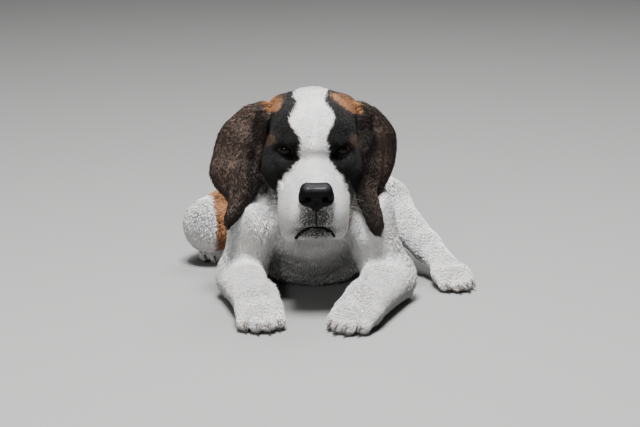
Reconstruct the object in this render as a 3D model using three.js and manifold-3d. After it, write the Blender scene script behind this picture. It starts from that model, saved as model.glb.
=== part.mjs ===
// A Saint Bernard puppy of about ten weeks, lying on its chest with its head up, at life size.
// Millimetres, +Z up. The nose points along -Y and the dog's left side is at +X.
// The floor is z = 0, and the origin is the point of the floor under the middle of the breastbone.
// The body is one smooth field of eggs and tapered limbs. It is meshed, parted with thin cuts into the
// parts that a person would name, and each part becomes one closed mesh.

import * as THREE from "three";
import { mergeVertices } from "three/addons/utils/BufferGeometryUtils.js";
import Module from "manifold-3d";

const wasm = await Module();
wasm.setup();

const GAP = 0.4; // space left between parts that touch
const FLOOR_SINK = 2; // how far soft parts would sink below the floor before they are cut flat

// Head: its frame sits midway between the eyes, tipped nose down and turned a little to the dog's left.
const HEAD_AT = [-2.8, -82, 174];
const HEAD_PITCH = 8;
const HEAD_YAW = 2.4;
const EYE = { x: 30, y: 4, z: 2.5, radius: 9.5, openWide: 7.6, openHigh: 5.6 };
const NOSE_TIP_Y = -76;
const LIP_Z = -65; // height of the mouth line under the nose, below the eyes

// Trunk: eggs along the spine, as centre and radii.
const RIBS = { at: [-5, 32, 86], size: [83, 116, 92] };
const BELLY = { at: [-14, 125, 70], size: [90, 92, 74] };
const RUMP = { at: [-16, 212, 72], size: [74, 78, 74] };
const BRISKET = { at: [-11, -46, 86], size: [58, 50, 46] };
const WITHERS = [-6, 48, 146];
const HIP_TOP = [-14, 205, 112];
const NECK = { top: [-5, 16, 156], topRadius: 57, base: [-7, -4, 104], baseRadius: 61 };

// Legs: the joints from the body outwards, for the dog's right and left sides.
const FORE_LEGS = {
  right: {
    blade: [-42, 30, 138],
    shoulder: [-61, -50, 100],
    elbow: [-81, -42, 25],
    wrist: [-63, -140, 23],
    heading: 9,
  },
  left: {
    blade: [34, 30, 138],
    shoulder: [48, -50, 98],
    elbow: [80, -49, 25],
    wrist: [50, -150, 23],
    heading: -30,
  },
};
const FORE_RADIUS = { blade: 36, shoulder: 32, elbow: 28, wrist: 23.5 };
const PAW = { wide: 49, high: 36, toeStep: 12, toeRadius: 8.6, knuckle: [-24, 20], toeEnd: [-41, 10] };
const HIND_LEGS = {
  right: {
    hip: [-48, 206, 62],
    knee: [-124, 104, 48],
    hock: [-104, 204, 22],
    heel: [-120, 140, 17],
    heading: 8,
  },
  left: {
    hip: [24, 208, 74],
    knee: [80, 122, 68],
    hock: [126, 54, 35],
    heel: [146, 14, 22],
    heading: 24,
  },
};
const HIND_RADIUS = { hip: 42, knee: 34, hock: 19, heel: 16 };
const HIND_PAW_SCALE = 0.9;
const PELVIS = { x: -12, halfWide: 12 }; // the part of the rump between the two thighs
const TAIL = {
  path: [
    [-16, 276, 92],
    [-16, 306, 58],
    [-12, 336, 24],
    [-2, 372, 15],
    [16, 404, 12],
    [38, 430, 10],
  ],
  radii: [24, 20, 17, 15, 12.5, 9],
};

// Colours of the coat and the bare parts.
const COLOURS = {
  white: { color: 0xe8e4de, roughness: 0.9 },
  tan: { color: 0x9c6238, roughness: 0.9 },
  dark: { color: 0x3a2c27, roughness: 0.85 },
  nose: { color: 0x17171a, roughness: 0.45 },
  eye: { color: 0x0c0806, roughness: 0.08 },
};

// Fields: each gives the distance from a point to a surface, less than zero inside it.

const degrees = THREE.MathUtils.degToRad;

// An ellipsoid's distance, near enough to true close to its surface. turn is its rotation in degrees.
function egg([cx, cy, cz], [rx, ry, rz], turn) {
  const m = turn && new THREE.Matrix4()
    .makeRotationFromEuler(new THREE.Euler(...turn.map(degrees)))
    .transpose().elements;
  return (x, y, z) => {
    let [u, v, w] = [x - cx, y - cy, z - cz];
    if (m) [u, v, w] = [0, 1, 2].map((row) => m[row] * u + m[row + 4] * v + m[row + 8] * w);
    const near = Math.hypot(u / rx, v / ry, w / rz);
    const slope = Math.hypot(u / (rx * rx), v / (ry * ry), w / (rz * rz));
    return slope > 1e-9 ? (near * (near - 1)) / slope : -Math.min(rx, ry, rz);
  };
}

// A tapered limb with round ends.
function limb([ax, ay, az], [bx, by, bz], ra, rb) {
  const [dx, dy, dz] = [bx - ax, by - ay, bz - az];
  const length2 = dx * dx + dy * dy + dz * dz;
  return (x, y, z) => {
    const t = Math.min(1, Math.max(0, ((x - ax) * dx + (y - ay) * dy + (z - az) * dz) / length2));
    return Math.hypot(x - ax - t * dx, y - ay - t * dy, z - az - t * dz) - ra - t * (rb - ra);
  };
}

// A block with rounded edges.
function block([cx, cy, cz], [hx, hy, hz], round) {
  return (x, y, z) => {
    const u = Math.abs(x - cx) - hx + round;
    const v = Math.abs(y - cy) - hy + round;
    const w = Math.abs(z - cz) - hz + round;
    const past = Math.hypot(Math.max(u, 0), Math.max(v, 0), Math.max(w, 0));
    return past + Math.min(Math.max(u, v, w), 0) - round;
  };
}

// The union of fields, with the creases between them filled over a width of soft.
function blend(soft, ...fields) {
  return (x, y, z) => {
    let d = fields[0](x, y, z);
    for (let i = 1; i < fields.length; i++) {
      const e = fields[i](x, y, z);
      const h = Math.max(soft - Math.abs(d - e), 0) / soft;
      d = Math.min(d, e) - (h * h * soft) / 4;
    }
    return d;
  };
}

// The same field on both sides of x = 0.
const mirrored = (field) => (x, y, z) => field(Math.abs(x), y, z);

// A field moved and turned as a three.js matrix says.
function placed(field, matrix) {
  const m = matrix.clone().invert().elements;
  return (x, y, z) =>
    field(
      m[0] * x + m[4] * y + m[8] * z + m[12],
      m[1] * x + m[5] * y + m[9] * z + m[13],
      m[2] * x + m[6] * y + m[10] * z + m[14],
    );
}

const headMatrix = new THREE.Matrix4().compose(
  new THREE.Vector3(...HEAD_AT),
  new THREE.Quaternion().setFromEuler(new THREE.Euler(degrees(HEAD_PITCH), 0, degrees(HEAD_YAW), "ZXY")),
  new THREE.Vector3(1, 1, 1),
);

// Meshing of the fields.

// Grid lines from the first stop to the last, each stretch with its own step.
function ticks(stops, steps) {
  const lines = [stops[0]];
  steps.forEach((step, i) => {
    const count = Math.max(1, Math.round((stops[i + 1] - stops[i]) / step));
    for (let k = 1; k <= count; k++) lines.push(stops[i] + ((stops[i + 1] - stops[i]) * k) / count);
  });
  return lines;
}

// A closed mesh of the surface where the field is zero, with one vertex in each cell that it crosses.
// Where the surface runs out of the grid the mesh is shut with a flat end, to be cut off later.
function netted(field, xs, ys, zs) {
  const [nx, ny, nz] = [xs.length, ys.length, zs.length];
  const at = (i, j, k) => (k * ny + j) * nx + i;
  const values = new Float64Array(nx * ny * nz);
  const edge = (n, count) => n === 0 || n === count - 1;
  zs.forEach((z, k) => ys.forEach((y, j) => xs.forEach((x, i) => {
    const rim = edge(i, nx) || edge(j, ny) || edge(k, nz);
    values[at(i, j, k)] = rim ? Math.max(1, field(x, y, z)) : field(x, y, z);
  })));
  untangled(values, [nx, ny, nz]);
  const inside = (i, j, k) => values[at(i, j, k)] < 0;
  const points = [];
  const pointOf = new Int32Array(nx * ny * nz).fill(-1);
  const corners = [0, 1, 2, 3, 4, 5, 6, 7].map((n) => [n & 1, (n >> 1) & 1, n >> 2]);
  const edges = corners.flatMap((a, n) =>
    [0, 1, 2].filter((axis) => !a[axis]).map((axis) => [n, n | (1 << axis)]));

  for (let k = 0; k < nz - 1; k++)
    for (let j = 0; j < ny - 1; j++)
      for (let i = 0; i < nx - 1; i++) {
        const v = corners.map(([a, b, c]) => values[at(i + a, j + b, k + c)]);
        const crossed = edges.filter(([a, b]) => v[a] < 0 !== v[b] < 0);
        if (!crossed.length) continue;
        const sum = [0, 0, 0];
        for (const [a, b] of crossed) {
          const t = v[a] / (v[a] - v[b]);
          for (let n = 0; n < 3; n++) sum[n] += corners[a][n] + t * (corners[b][n] - corners[a][n]);
        }
        const [fx, fy, fz] = sum.map((s) => s / crossed.length);
        const start = [
          xs[i] + fx * (xs[i + 1] - xs[i]),
          ys[j] + fy * (ys[j + 1] - ys[j]),
          zs[k] + fz * (zs[k + 1] - zs[k]),
        ];
        pointOf[at(i, j, k)] = points.length / 3;
        const low = [xs[i], ys[j], zs[k]];
        const size = [xs[i + 1] - xs[i], ys[j + 1] - ys[j], zs[k + 1] - zs[k]];
        points.push(...settled(field, start).map((p, n) =>
          low[n] + size[n] * Math.min(0.96, Math.max(0.04, (p - low[n]) / size[n]))));
      }

  const faces = [];
  const quad = (a, b, c, d, flip) => {
    const corner = [a, b, c, d].map((n) => pointOf[n]);
    const apart = (m, n, q) => points[3 * corner[m] + q] - points[3 * corner[n] + q];
    const gap = (m, n) => Math.hypot(...[0, 1, 2].map((q) => apart(m, n, q)));
    const rows = gap(0, 2) <= gap(1, 3) ? [[0, 1, 2], [0, 2, 3]] : [[0, 1, 3], [1, 2, 3]];
    for (const row of rows) faces.push(...(flip ? row.reverse() : row).map((n) => corner[n]));
  };
  for (let k = 0; k < nz - 1; k++)
    for (let j = 0; j < ny - 1; j++)
      for (let i = 0; i < nx - 1; i++) {
        const here = inside(i, j, k);
        if (here !== inside(i + 1, j, k))
          quad(at(i, j - 1, k - 1), at(i, j, k - 1), at(i, j, k), at(i, j - 1, k), !here);
        if (here !== inside(i, j + 1, k))
          quad(at(i - 1, j, k - 1), at(i - 1, j, k), at(i, j, k), at(i, j, k - 1), !here);
        if (here !== inside(i, j, k + 1))
          quad(at(i - 1, j - 1, k), at(i, j - 1, k), at(i, j, k), at(i - 1, j, k), !here);
      }
  return new THREE.BufferGeometry()
    .setAttribute("position", new THREE.BufferAttribute(new Float32Array(points), 3))
    .setIndex(faces);
}

// Grid values changed a little wherever the surface would touch itself along a line: where the two
// corners inside it lie across a cell's face, or across the cell, from each other.
function untangled(values, [nx, ny, nz]) {
  const steps = [1, nx, nx * ny];
  let left = true;
  while (left) {
    left = false;
    for (let n = 0; n < nx * ny * (nz - 1) - nx - 1; n++)
      for (const [p, q] of [[0, 1], [1, 2], [0, 2]]) {
        const loop = [n, n + steps[p], n + steps[p] + steps[q], n + steps[q]];
        const [a, b, c, d] = loop.map((m) => values[m] < 0);
        if (a !== c || b !== d || a === b) continue;
        const outside = a ? [loop[1], loop[3]] : [loop[0], loop[2]];
        values[values[outside[0]] < values[outside[1]] ? outside[0] : outside[1]] = -0.01;
        left = true;
      }
  }
}

// A point moved along the field's slope on to its surface.
function settled(field, [x, y, z]) {
  const h = 0.4;
  for (let step = 0; step < 3; step++) {
    const d = field(x, y, z);
    const g = [
      (field(x + h, y, z) - field(x - h, y, z)) / (2 * h),
      (field(x, y + h, z) - field(x, y - h, z)) / (2 * h),
      (field(x, y, z + h) - field(x, y, z - h)) / (2 * h),
    ];
    const g2 = g[0] * g[0] + g[1] * g[1] + g[2] * g[2] + 1e-6;
    [x, y, z] = [x - (d * g[0]) / g2, y - (d * g[1]) / g2, z - (d * g[2]) / g2];
  }
  return [x, y, z];
}

// A tapered capsule as a mesh, for parting one limb from its neighbours along a smooth line.
function capsule(from, to, fromRadius, toRadius) {
  const [a, b] = [new THREE.Vector3(...from), new THREE.Vector3(...to)];
  const along = b.clone().sub(a).normalize();
  const turn = new THREE.Quaternion().setFromUnitVectors(new THREE.Vector3(0, 0, 1), along);
  const ring = (centre, radius, tilt) =>
    Array.from({ length: 14 }, (_, i) => {
      const angle = (i / 14) * 2 * Math.PI;
      const flat = radius * Math.cos(tilt);
      return new THREE.Vector3(flat * Math.cos(angle), flat * Math.sin(angle), radius * Math.sin(tilt))
        .applyQuaternion(turn).add(centre);
    });
  const tilts = [65, 32, 0].map(degrees);
  return solidOf(lofted([
    ...tilts.map((tilt) => ring(a, fromRadius, -tilt)),
    ...tilts.toReversed().map((tilt) => ring(b, toRadius, tilt)),
  ]));
}

// A closed skin through rings of points, all with the same number, fanned shut at both ends.
function lofted(rings) {
  const n = rings[0].length;
  const points = rings.flat();
  const faces = [];
  for (let r = 0; r < rings.length - 1; r++)
    for (let i = 0; i < n; i++) {
      const [a, b] = [r * n + i, r * n + ((i + 1) % n)];
      faces.push(a, b, b + n, a, b + n, a + n);
    }
  for (const [first, flip] of [[0, true], [(rings.length - 1) * n, false]]) {
    const middle = new THREE.Vector3();
    for (let i = 0; i < n; i++) middle.addScaledVector(points[first + i], 1 / n);
    points.push(middle);
    for (let i = 0; i < n; i++) {
      const [a, b] = [first + i, first + ((i + 1) % n)];
      faces.push(...(flip ? [b, a, points.length - 1] : [a, b, points.length - 1]));
    }
  }
  return new THREE.BufferGeometry().setFromPoints(points).setIndex(faces);
}

// Closed solids, and how they are joined and parted.

function solidOf(geometry) {
  const bare = geometry.clone();
  for (const name of Object.keys(bare.attributes)) if (name !== "position") bare.deleteAttribute(name);
  const merged = mergeVertices(bare, 1e-4);
  const mesh = new wasm.Mesh({
    numProp: 3,
    vertProperties: new Float32Array(merged.attributes.position.array),
    triVerts: new Uint32Array(merged.index.array),
  });
  return new wasm.Manifold(mesh);
}

function geometryOf(solid) {
  const { vertProperties, triVerts } = solid.getMesh();
  return new THREE.BufferGeometry()
    .setAttribute("position", new THREE.BufferAttribute(new Float32Array(vertProperties), 3))
    .setIndex(new THREE.BufferAttribute(new Uint32Array(triVerts), 1));
}

// The solid grown by a gap, which cuts room for it into a neighbour. A corner moves further than the
// flats round it, so that each flat moves by the whole gap.
function swollen(solid, by = GAP) {
  const geometry = geometryOf(solid);
  geometry.computeVertexNormals();
  const { position, normal } = geometry.attributes;
  const each = (values) => Array.from({ length: position.count }, (_, i) =>
    new THREE.Vector3().fromBufferAttribute(values, i));
  const [points, outward] = [each(position), each(normal)];
  const slant = points.map(() => 1);
  const corners = geometry.index.array;
  for (let t = 0; t < corners.length; t += 3) {
    const three = [corners[t], corners[t + 1], corners[t + 2]];
    const flat = new THREE.Triangle(...three.map((i) => points[i])).getNormal(new THREE.Vector3());
    for (const i of three) slant[i] = Math.max(0.3, Math.min(slant[i], flat.dot(outward[i])));
  }
  points.forEach((p, i) => p.addScaledVector(outward[i], by / slant[i]));
  geometry.setFromPoints(points);
  return solidOf(geometry);
}

const largest = (solid) => solid.decompose().sort((a, b) => b.volume() - a.volume())[0];

// Everything on the side of a plane that direction points to, as a big box.
const REACH = 2000;
function sideOf(point, direction) {
  const box = new THREE.BoxGeometry(REACH, REACH, REACH).translate(0, 0, REACH / 2);
  const turn = new THREE.Quaternion().setFromUnitVectors(
    new THREE.Vector3(0, 0, 1),
    new THREE.Vector3(...direction).normalize(),
  );
  return solidOf(box.applyQuaternion(turn).translate(...point));
}

// The two pieces of a solid parted at a plane: the one that direction points to comes first.
function parted(solid, point, direction) {
  const away = new THREE.Vector3(...direction).normalize().multiplyScalar(GAP / 2);
  const ahead = sideOf(new THREE.Vector3(...point).add(away).toArray(), direction);
  const behind = sideOf(new THREE.Vector3(...point).sub(away).toArray(), direction.map((d) => -d));
  return [solid.intersect(ahead), solid.intersect(behind)].map(largest);
}

// A scaled and turned sphere, for parting a limb from the trunk along a rounded line.
function bubble(at, [rx, ry, rz], turn = [0, 0, 0]) {
  const ball = new THREE.SphereGeometry(1, 18, 11).scale(rx, ry, rz);
  ball.applyQuaternion(new THREE.Quaternion().setFromEuler(new THREE.Euler(...turn.map(degrees))));
  return solidOf(ball.translate(...at));
}

const aboveFloor = (solid) => solid.intersect(sideOf([0, 0, 0], [0, 0, 1]));

// Shape of the head, in its own frame.

function headField() {
  const cranium = egg([0, 40, 10], [51, 58, 48]);
  const foreheads = egg([15, 13, 22], [26, 25, 27]);
  const occiput = egg([0, 84, 14], [26, 22, 24]);
  const earBases = egg([35, 40, 34], [16, 23, 16]);
  const cheeks = egg([35, 22, -20], [24, 34, 31]);
  const underEyes = egg([29, 4, -15], [17, 16, 14]);
  const brows = egg([27, 3, 12], [14, 9.5, 6.5], [0, 14, 0]);
  const bridge = limb([0, -4, -28], [0, -52, -31], 25, 21);
  const muzzle = block([0, -38, -44], [23, 31, 20], 13);
  const flews = egg([20, -42, -49], [16.5, 27, 26]);
  const flewTips = egg([24, -41, -62], [11, 19, 17.5]);
  const lipRoot = egg([26, -12, -46], [16, 24, 21]);
  const skull = blend(14, cranium, occiput, foreheads, cheeks, earBases);
  const face = blend(10, skull, underEyes, brows);
  const fullerFlew = egg([-23, -41, -48], [16.5, 27, 25]);
  const lips = blend(5, muzzle, flews, flewTips);
  return blend(5, mirrored(blend(8, blend(14, face, bridge), lips, lipRoot)), fullerFlew);
}

// The closed lower jaw, nested between the hanging upper lips.
function jawField() {
  return blend(8, block([0, -33, LIP_Z - 7], [21, 27, 8], 7), egg([0, 0, LIP_Z], [24, 26, 15]));
}

// The bare nose pad: a wide flat-topped block with round wings.
function noseField() {
  const pad = block([0, NOSE_TIP_Y + 11, -22], [17.5, 11, 9.5], 8);
  const wings = egg([10.5, NOSE_TIP_Y + 10, -28], [8.5, 9, 9]);
  const foot = egg([0, NOSE_TIP_Y + 9, -35], [8, 7, 7]);
  return mirrored(blend(5, pad, wings, foot));
}

// One nostril: a comma that opens forwards and curls out to the side of the pad.
function nostril(side) {
  const stations = [
    [6.5, -27, 3.4],
    [10, -26, 3.6],
    [14, -27.5, 2.4],
    [18.5, -30, 1.2],
  ];
  const depth = 9;
  const rings = stations.map(([x, z, r]) =>
    Array.from({ length: 8 }, (_, i) => {
      const a = (i / 8) * 2 * Math.PI * side;
      const y = NOSE_TIP_Y + depth * (0.3 - Math.cos(a));
      return new THREE.Vector3(side * x, y, z + Math.sin(a) * r);
    }));
  return solidOf(lofted(rings));
}

// The rim of both lids: a tube round the almond opening, resting on the eyeball.
function lidRim(side) {
  const steps = 18;
  const around = 5;
  const thick = 2.4;
  const seat = EYE.radius + 0.6;
  const almond = (t) => {
    const x = EYE.openWide * Math.cos(t) * 1.12;
    const z = EYE.openHigh * Math.sin(t) * (1 - 0.25 * Math.cos(t) ** 2) * 1.15;
    return new THREE.Vector3(x, -Math.sqrt(seat * seat - Math.min(seat * seat * 0.8, x * x + z * z)), z);
  };
  const centre = new THREE.Vector3(side * EYE.x, EYE.y, EYE.z);
  const points = [];
  const faces = [];
  for (let s = 0; s < steps; s++) {
    const t = (s / steps) * 2 * Math.PI;
    const here = almond(t);
    const along = almond(t + 0.01).sub(almond(t - 0.01)).normalize();
    const out = here.clone().normalize();
    const across = new THREE.Vector3().crossVectors(along, out).normalize();
    for (let a = 0; a < around; a++) {
      const angle = (a / around) * 2 * Math.PI;
      points.push(here.clone().addScaledVector(out, thick * Math.sin(angle))
        .addScaledVector(across, thick * Math.cos(angle)).add(centre));
      const [n, m] = [s * around, ((s + 1) % steps) * around];
      const b = (a + 1) % around;
      faces.push(n + a, m + b, n + b, n + a, m + a, m + b);
    }
  }
  return solidOf(new THREE.BufferGeometry().setFromPoints(points).setIndex(faces));
}

// The almond-shaped way through the skin in front of an eyeball.
function lidOpening(side) {
  const rings = [0, 26].map((forward) =>
    Array.from({ length: 20 }, (_, i) => {
      const t = (i / 20) * 2 * Math.PI;
      return new THREE.Vector3(
        side * EYE.x + EYE.openWide * Math.cos(t),
        EYE.y - forward,
        EYE.z + EYE.openHigh * Math.sin(t) * (1 - 0.25 * Math.cos(t) ** 2),
      );
    }));
  return solidOf(lofted(rings));
}

const eyeBall = (side, radius) =>
  solidOf(new THREE.SphereGeometry(radius, 14, 8).translate(side * EYE.x, EYE.y, EYE.z));

// An ear flap hung through stations from its root to its tip. Each has the flap's middle, the way
// across it from the front edge to the back one, its width and how far its middle bulges outwards.
const EARS = {
  right: [
    { at: [-35, 42, 38], across: [-0.2, 1, -0.2], width: 32, bulge: 1 },
    { at: [-50, 40, 46], across: [-0.25, 1, -0.2], width: 38, bulge: 3 },
    { at: [-62, 37, 41], across: [-0.6, 0.8, -0.2], width: 46, bulge: 4 },
    { at: [-72, 32, 26], across: [-0.75, 0.66, -0.1], width: 50, bulge: 6 },
    { at: [-81, 27, 7], across: [-0.8, 0.6, 0], width: 55, bulge: 8 },
    { at: [-88, 22, -13], across: [-0.84, 0.54, 0], width: 60, bulge: 9 },
    { at: [-91, 15, -31], across: [-0.86, 0.5, 0], width: 63, bulge: 9 },
    { at: [-88, 7, -47], across: [-0.86, 0.5, 0], width: 57, bulge: 8 },
    { at: [-84, 0, -60], across: [-0.86, 0.5, 0], width: 38, bulge: 6 },
    { at: [-85, -6, -70], across: [-0.86, 0.5, 0], width: 24, bulge: 4 },
    { at: [-89, -10, -79], across: [-0.86, 0.5, 0], width: 10, bulge: 1 },
  ],
  left: [
    { at: [35, 42, 38], across: [0.2, 1, -0.2], width: 32, bulge: 1 },
    { at: [48, 41, 45], across: [0.2, 1, -0.2], width: 38, bulge: 3 },
    { at: [60, 38, 40], across: [0.4, 0.92, -0.2], width: 46, bulge: 4 },
    { at: [69, 34, 24], across: [0.55, 0.83, -0.1], width: 54, bulge: 6 },
    { at: [74, 30, 5], across: [0.6, 0.8, 0], width: 62, bulge: 8 },
    { at: [76, 25, -14], across: [0.62, 0.78, 0], width: 66, bulge: 9 },
    { at: [74, 17, -33], across: [0.62, 0.78, 0], width: 66, bulge: 9 },
    { at: [69, 5, -51], across: [0.64, 0.77, 0], width: 54, bulge: 8 },
    { at: [67, -8, -65], across: [0.76, 0.65, 0], width: 36, bulge: 6 },
    { at: [68, -17, -77], across: [0.86, 0.5, 0], width: 26, bulge: 4 },
    { at: [69, -22, -88], across: [0.9, 0.4, 0], width: 10, bulge: 1 },
  ],
};
const EAR_THICK = 6;

function earFlap(side, stations) {
  const line = new THREE.CatmullRomCurve3(stations.map((s) => new THREE.Vector3(...s.at)));
  const slices = 15;
  const across = 7;
  const mix = (key, t) => {
    const f = t * (stations.length - 1);
    const i = Math.min(stations.length - 2, Math.floor(f));
    return THREE.MathUtils.lerp(stations[i][key], stations[i + 1][key], f - i);
  };
  const rings = [];
  for (let s = 0; s <= slices; s++) {
    const t = s / slices;
    const f = t * (stations.length - 1);
    const i = Math.min(stations.length - 2, Math.floor(f));
    const [before, after] = [stations[i], stations[i + 1]].map((s) => new THREE.Vector3(...s.across));
    const over = before.lerp(after, f - i);
    const down = line.getTangent(t);
    over.addScaledVector(down, -over.dot(down)).normalize();
    const out = new THREE.Vector3().crossVectors(over, down).multiplyScalar(-side).normalize();
    const [width, bulge] = [mix("width", t), mix("bulge", t)];
    const ring = [];
    for (let face of [1, -1])
      for (let a = 0; a < across; a++) {
        const u = face * (-1 + (2 * a) / across);
        const thick = (EAR_THICK / 2) * Math.sqrt(1 - u * u) + 0.3;
        ring.push(
          line.getPoint(t)
            .addScaledVector(over, (u * width) / 2)
            .addScaledVector(out, bulge * (0.5 - u * u) + face * thick * (Math.abs(u) === 1 ? 0 : 1)),
        );
      }
    rings.push(side > 0 ? ring.reverse() : ring);
  }
  return solidOf(lofted(rings));
}

// Shape of the body and legs.

// The fields of a leg: the end near the trunk, and the whole of it down to the toes.
function foreLeg({ blade, shoulder, elbow, wrist, heading }) {
  const R = FORE_RADIUS;
  const pawAt = pawMatrix(wrist, heading);
  const shoulderBlade = limb(blade, shoulder, R.blade, R.shoulder);
  const nearEnd = blend(20, shoulderBlade, limb(shoulder, elbow, R.shoulder, R.elbow));
  const bent = blend(8, nearEnd, limb(elbow, wrist, R.elbow, R.wrist));
  return { pawAt, nearEnd, field: blend(8, bent, placed(pawField(), pawAt)) };
}

function hindLeg({ hip, knee, hock, heel, heading }) {
  const R = HIND_RADIUS;
  const pawAt = pawMatrix(heel, heading, HIND_PAW_SCALE);
  const nearEnd = limb(hip, knee, R.hip, R.knee);
  const bent = blend(10, nearEnd, limb(knee, hock, R.knee - 5, R.hock));
  const foot = blend(8, limb(hock, heel, R.hock, R.heel), placed(pawField(), pawAt));
  return { pawAt, nearEnd, field: blend(8, bent, foot) };
}

// A paw in its own frame: the wrist end at the origin on the floor, toes along -Y.
const TOES = [-1.5, -0.5, 0.5, 1.5];
const toeSetBack = (n) => (Math.abs(n) > 1 ? 9 : 0);
function pawField() {
  const heel = egg([0, -12, PAW.high / 2 - FLOOR_SINK], [PAW.wide / 2, 28, PAW.high / 2]);
  const toes = TOES.map((n) =>
    limb(
      [n * PAW.toeStep * 0.9, PAW.knuckle[0] + toeSetBack(n), PAW.knuckle[1]],
      [n * PAW.toeStep, PAW.toeEnd[0] + toeSetBack(n), PAW.toeEnd[1]],
      PAW.toeRadius + 1,
      PAW.toeRadius,
    ));
  return blend(6, heel, blend(2, ...toes));
}

// One claw for each toe: a short tapered hook that comes out above the toe's end and points down.
function claws() {
  const hooks = TOES.map((n) => {
    const start = new THREE.Vector3(n * PAW.toeStep, PAW.toeEnd[0] + toeSetBack(n) - 3, PAW.toeEnd[1] + 2);
    const line = new THREE.QuadraticBezierCurve3(
      start,
      start.clone().add(new THREE.Vector3(0, -10, 1)),
      start.clone().add(new THREE.Vector3(0, -13, -6)),
    );
    const rings = [0, 0.35, 0.7, 0.95].map((t) => {
      const middle = line.getPoint(t);
      const along = line.getTangent(t);
      const radius = 2.6 * (1 - 0.8 * t * t);
      const up = new THREE.Vector3(0, -along.z, along.y);
      const right = new THREE.Vector3(1, 0, 0);
      return Array.from({ length: 6 }, (_, i) => {
        const a = (i / 6) * 2 * Math.PI;
        return middle.clone()
          .addScaledVector(up, radius * Math.cos(a))
          .addScaledVector(right, radius * Math.sin(a));
      });
    });
    return solidOf(lofted(rings));
  });
  return hooks.reduce((a, b) => a.add(b));
}

function pawMatrix([x, y], heading, scale = 1) {
  return new THREE.Matrix4().compose(
    new THREE.Vector3(x, y, 0),
    new THREE.Quaternion().setFromAxisAngle(new THREE.Vector3(0, 0, 1), degrees(heading)),
    new THREE.Vector3(scale, scale, scale),
  );
}

function trunkField() {
  const trunk = blend(
    30,
    egg(RIBS.at, RIBS.size),
    egg(BELLY.at, BELLY.size),
    egg(RUMP.at, RUMP.size),
    limb(WITHERS, HIP_TOP, 34, 36),
    egg(BRISKET.at, BRISKET.size),
  );
  return blend(34, trunk, limb(NECK.top, NECK.base, NECK.topRadius, NECK.baseRadius));
}

const tailPieces = TAIL.path.slice(1).map((p, i) => limb(TAIL.path[i], p, TAIL.radii[i], TAIL.radii[i + 1]));
const tailField = blend(10, ...tailPieces);
const LEGS = {
  foreRight: { ...FORE_LEGS.right, ...foreLeg(FORE_LEGS.right) },
  foreLeft: { ...FORE_LEGS.left, ...foreLeg(FORE_LEGS.left) },
  hindRight: { ...HIND_LEGS.right, ...hindLeg(HIND_LEGS.right) },
  hindLeft: { ...HIND_LEGS.left, ...hindLeg(HIND_LEGS.left) },
};
const standingHead = placed(headField(), headMatrix);
const bodyWith = (part) => {
  const onLegs = blend(22, trunkField(), ...Object.values(LEGS).map((leg) => leg[part]));
  return blend(16, blend(16, onLegs, tailField), standingHead);
};
const wholeField = bodyWith("field");

// Parting of the body.

const away = (p, q) => new THREE.Vector3(...q).sub(new THREE.Vector3(...p)).normalize();

// The grid lines that cover a set of points with a margin round them.
function gridRound(points, margin, step) {
  return [0, 1, 2].map((axis) => {
    const along = points.map((p) => p[axis]);
    return ticks([Math.min(...along) - margin, Math.max(...along) + margin], [step]);
  });
}

// The head comes first, because the neck and shoulders are cut back to meet it.
const HEAD_REGION = [
  { at: [0, 20, 0], size: [74, 96, 82] },
  { at: [0, -40, -32], size: [54, 52, 58] },
];
const headRegion = (by) =>
  HEAD_REGION.map(({ at, size }) => bubble(at, size.map((r) => r + by))).reduce((a, b) => a.add(b));
const headMesh = netted(
  placed(wholeField, headMatrix.clone().invert()),
  ticks([-90, 90], [8.4]),
  ticks([-92, -10, 120], [7.9, 20]),
  ticks([-94, -10, 74], [7.9, 13]),
);
let head = largest(solidOf(headMesh).intersect(headRegion(0)));
const headCut = headRegion(GAP).transform(Array.from(headMatrix.elements));

// The trunk is meshed without the far ends of its legs, so that its coarse steps leave no scraps of them.
const trunkMesh = netted(
  bodyWith("nearEnd"),
  ticks([-150, 150], [21.5]),
  ticks([-137, 332], [22]),
  ticks([-42, 254], [21]),
);
let torso = aboveFloor(solidOf(trunkMesh)).subtract(headCut);

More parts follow.
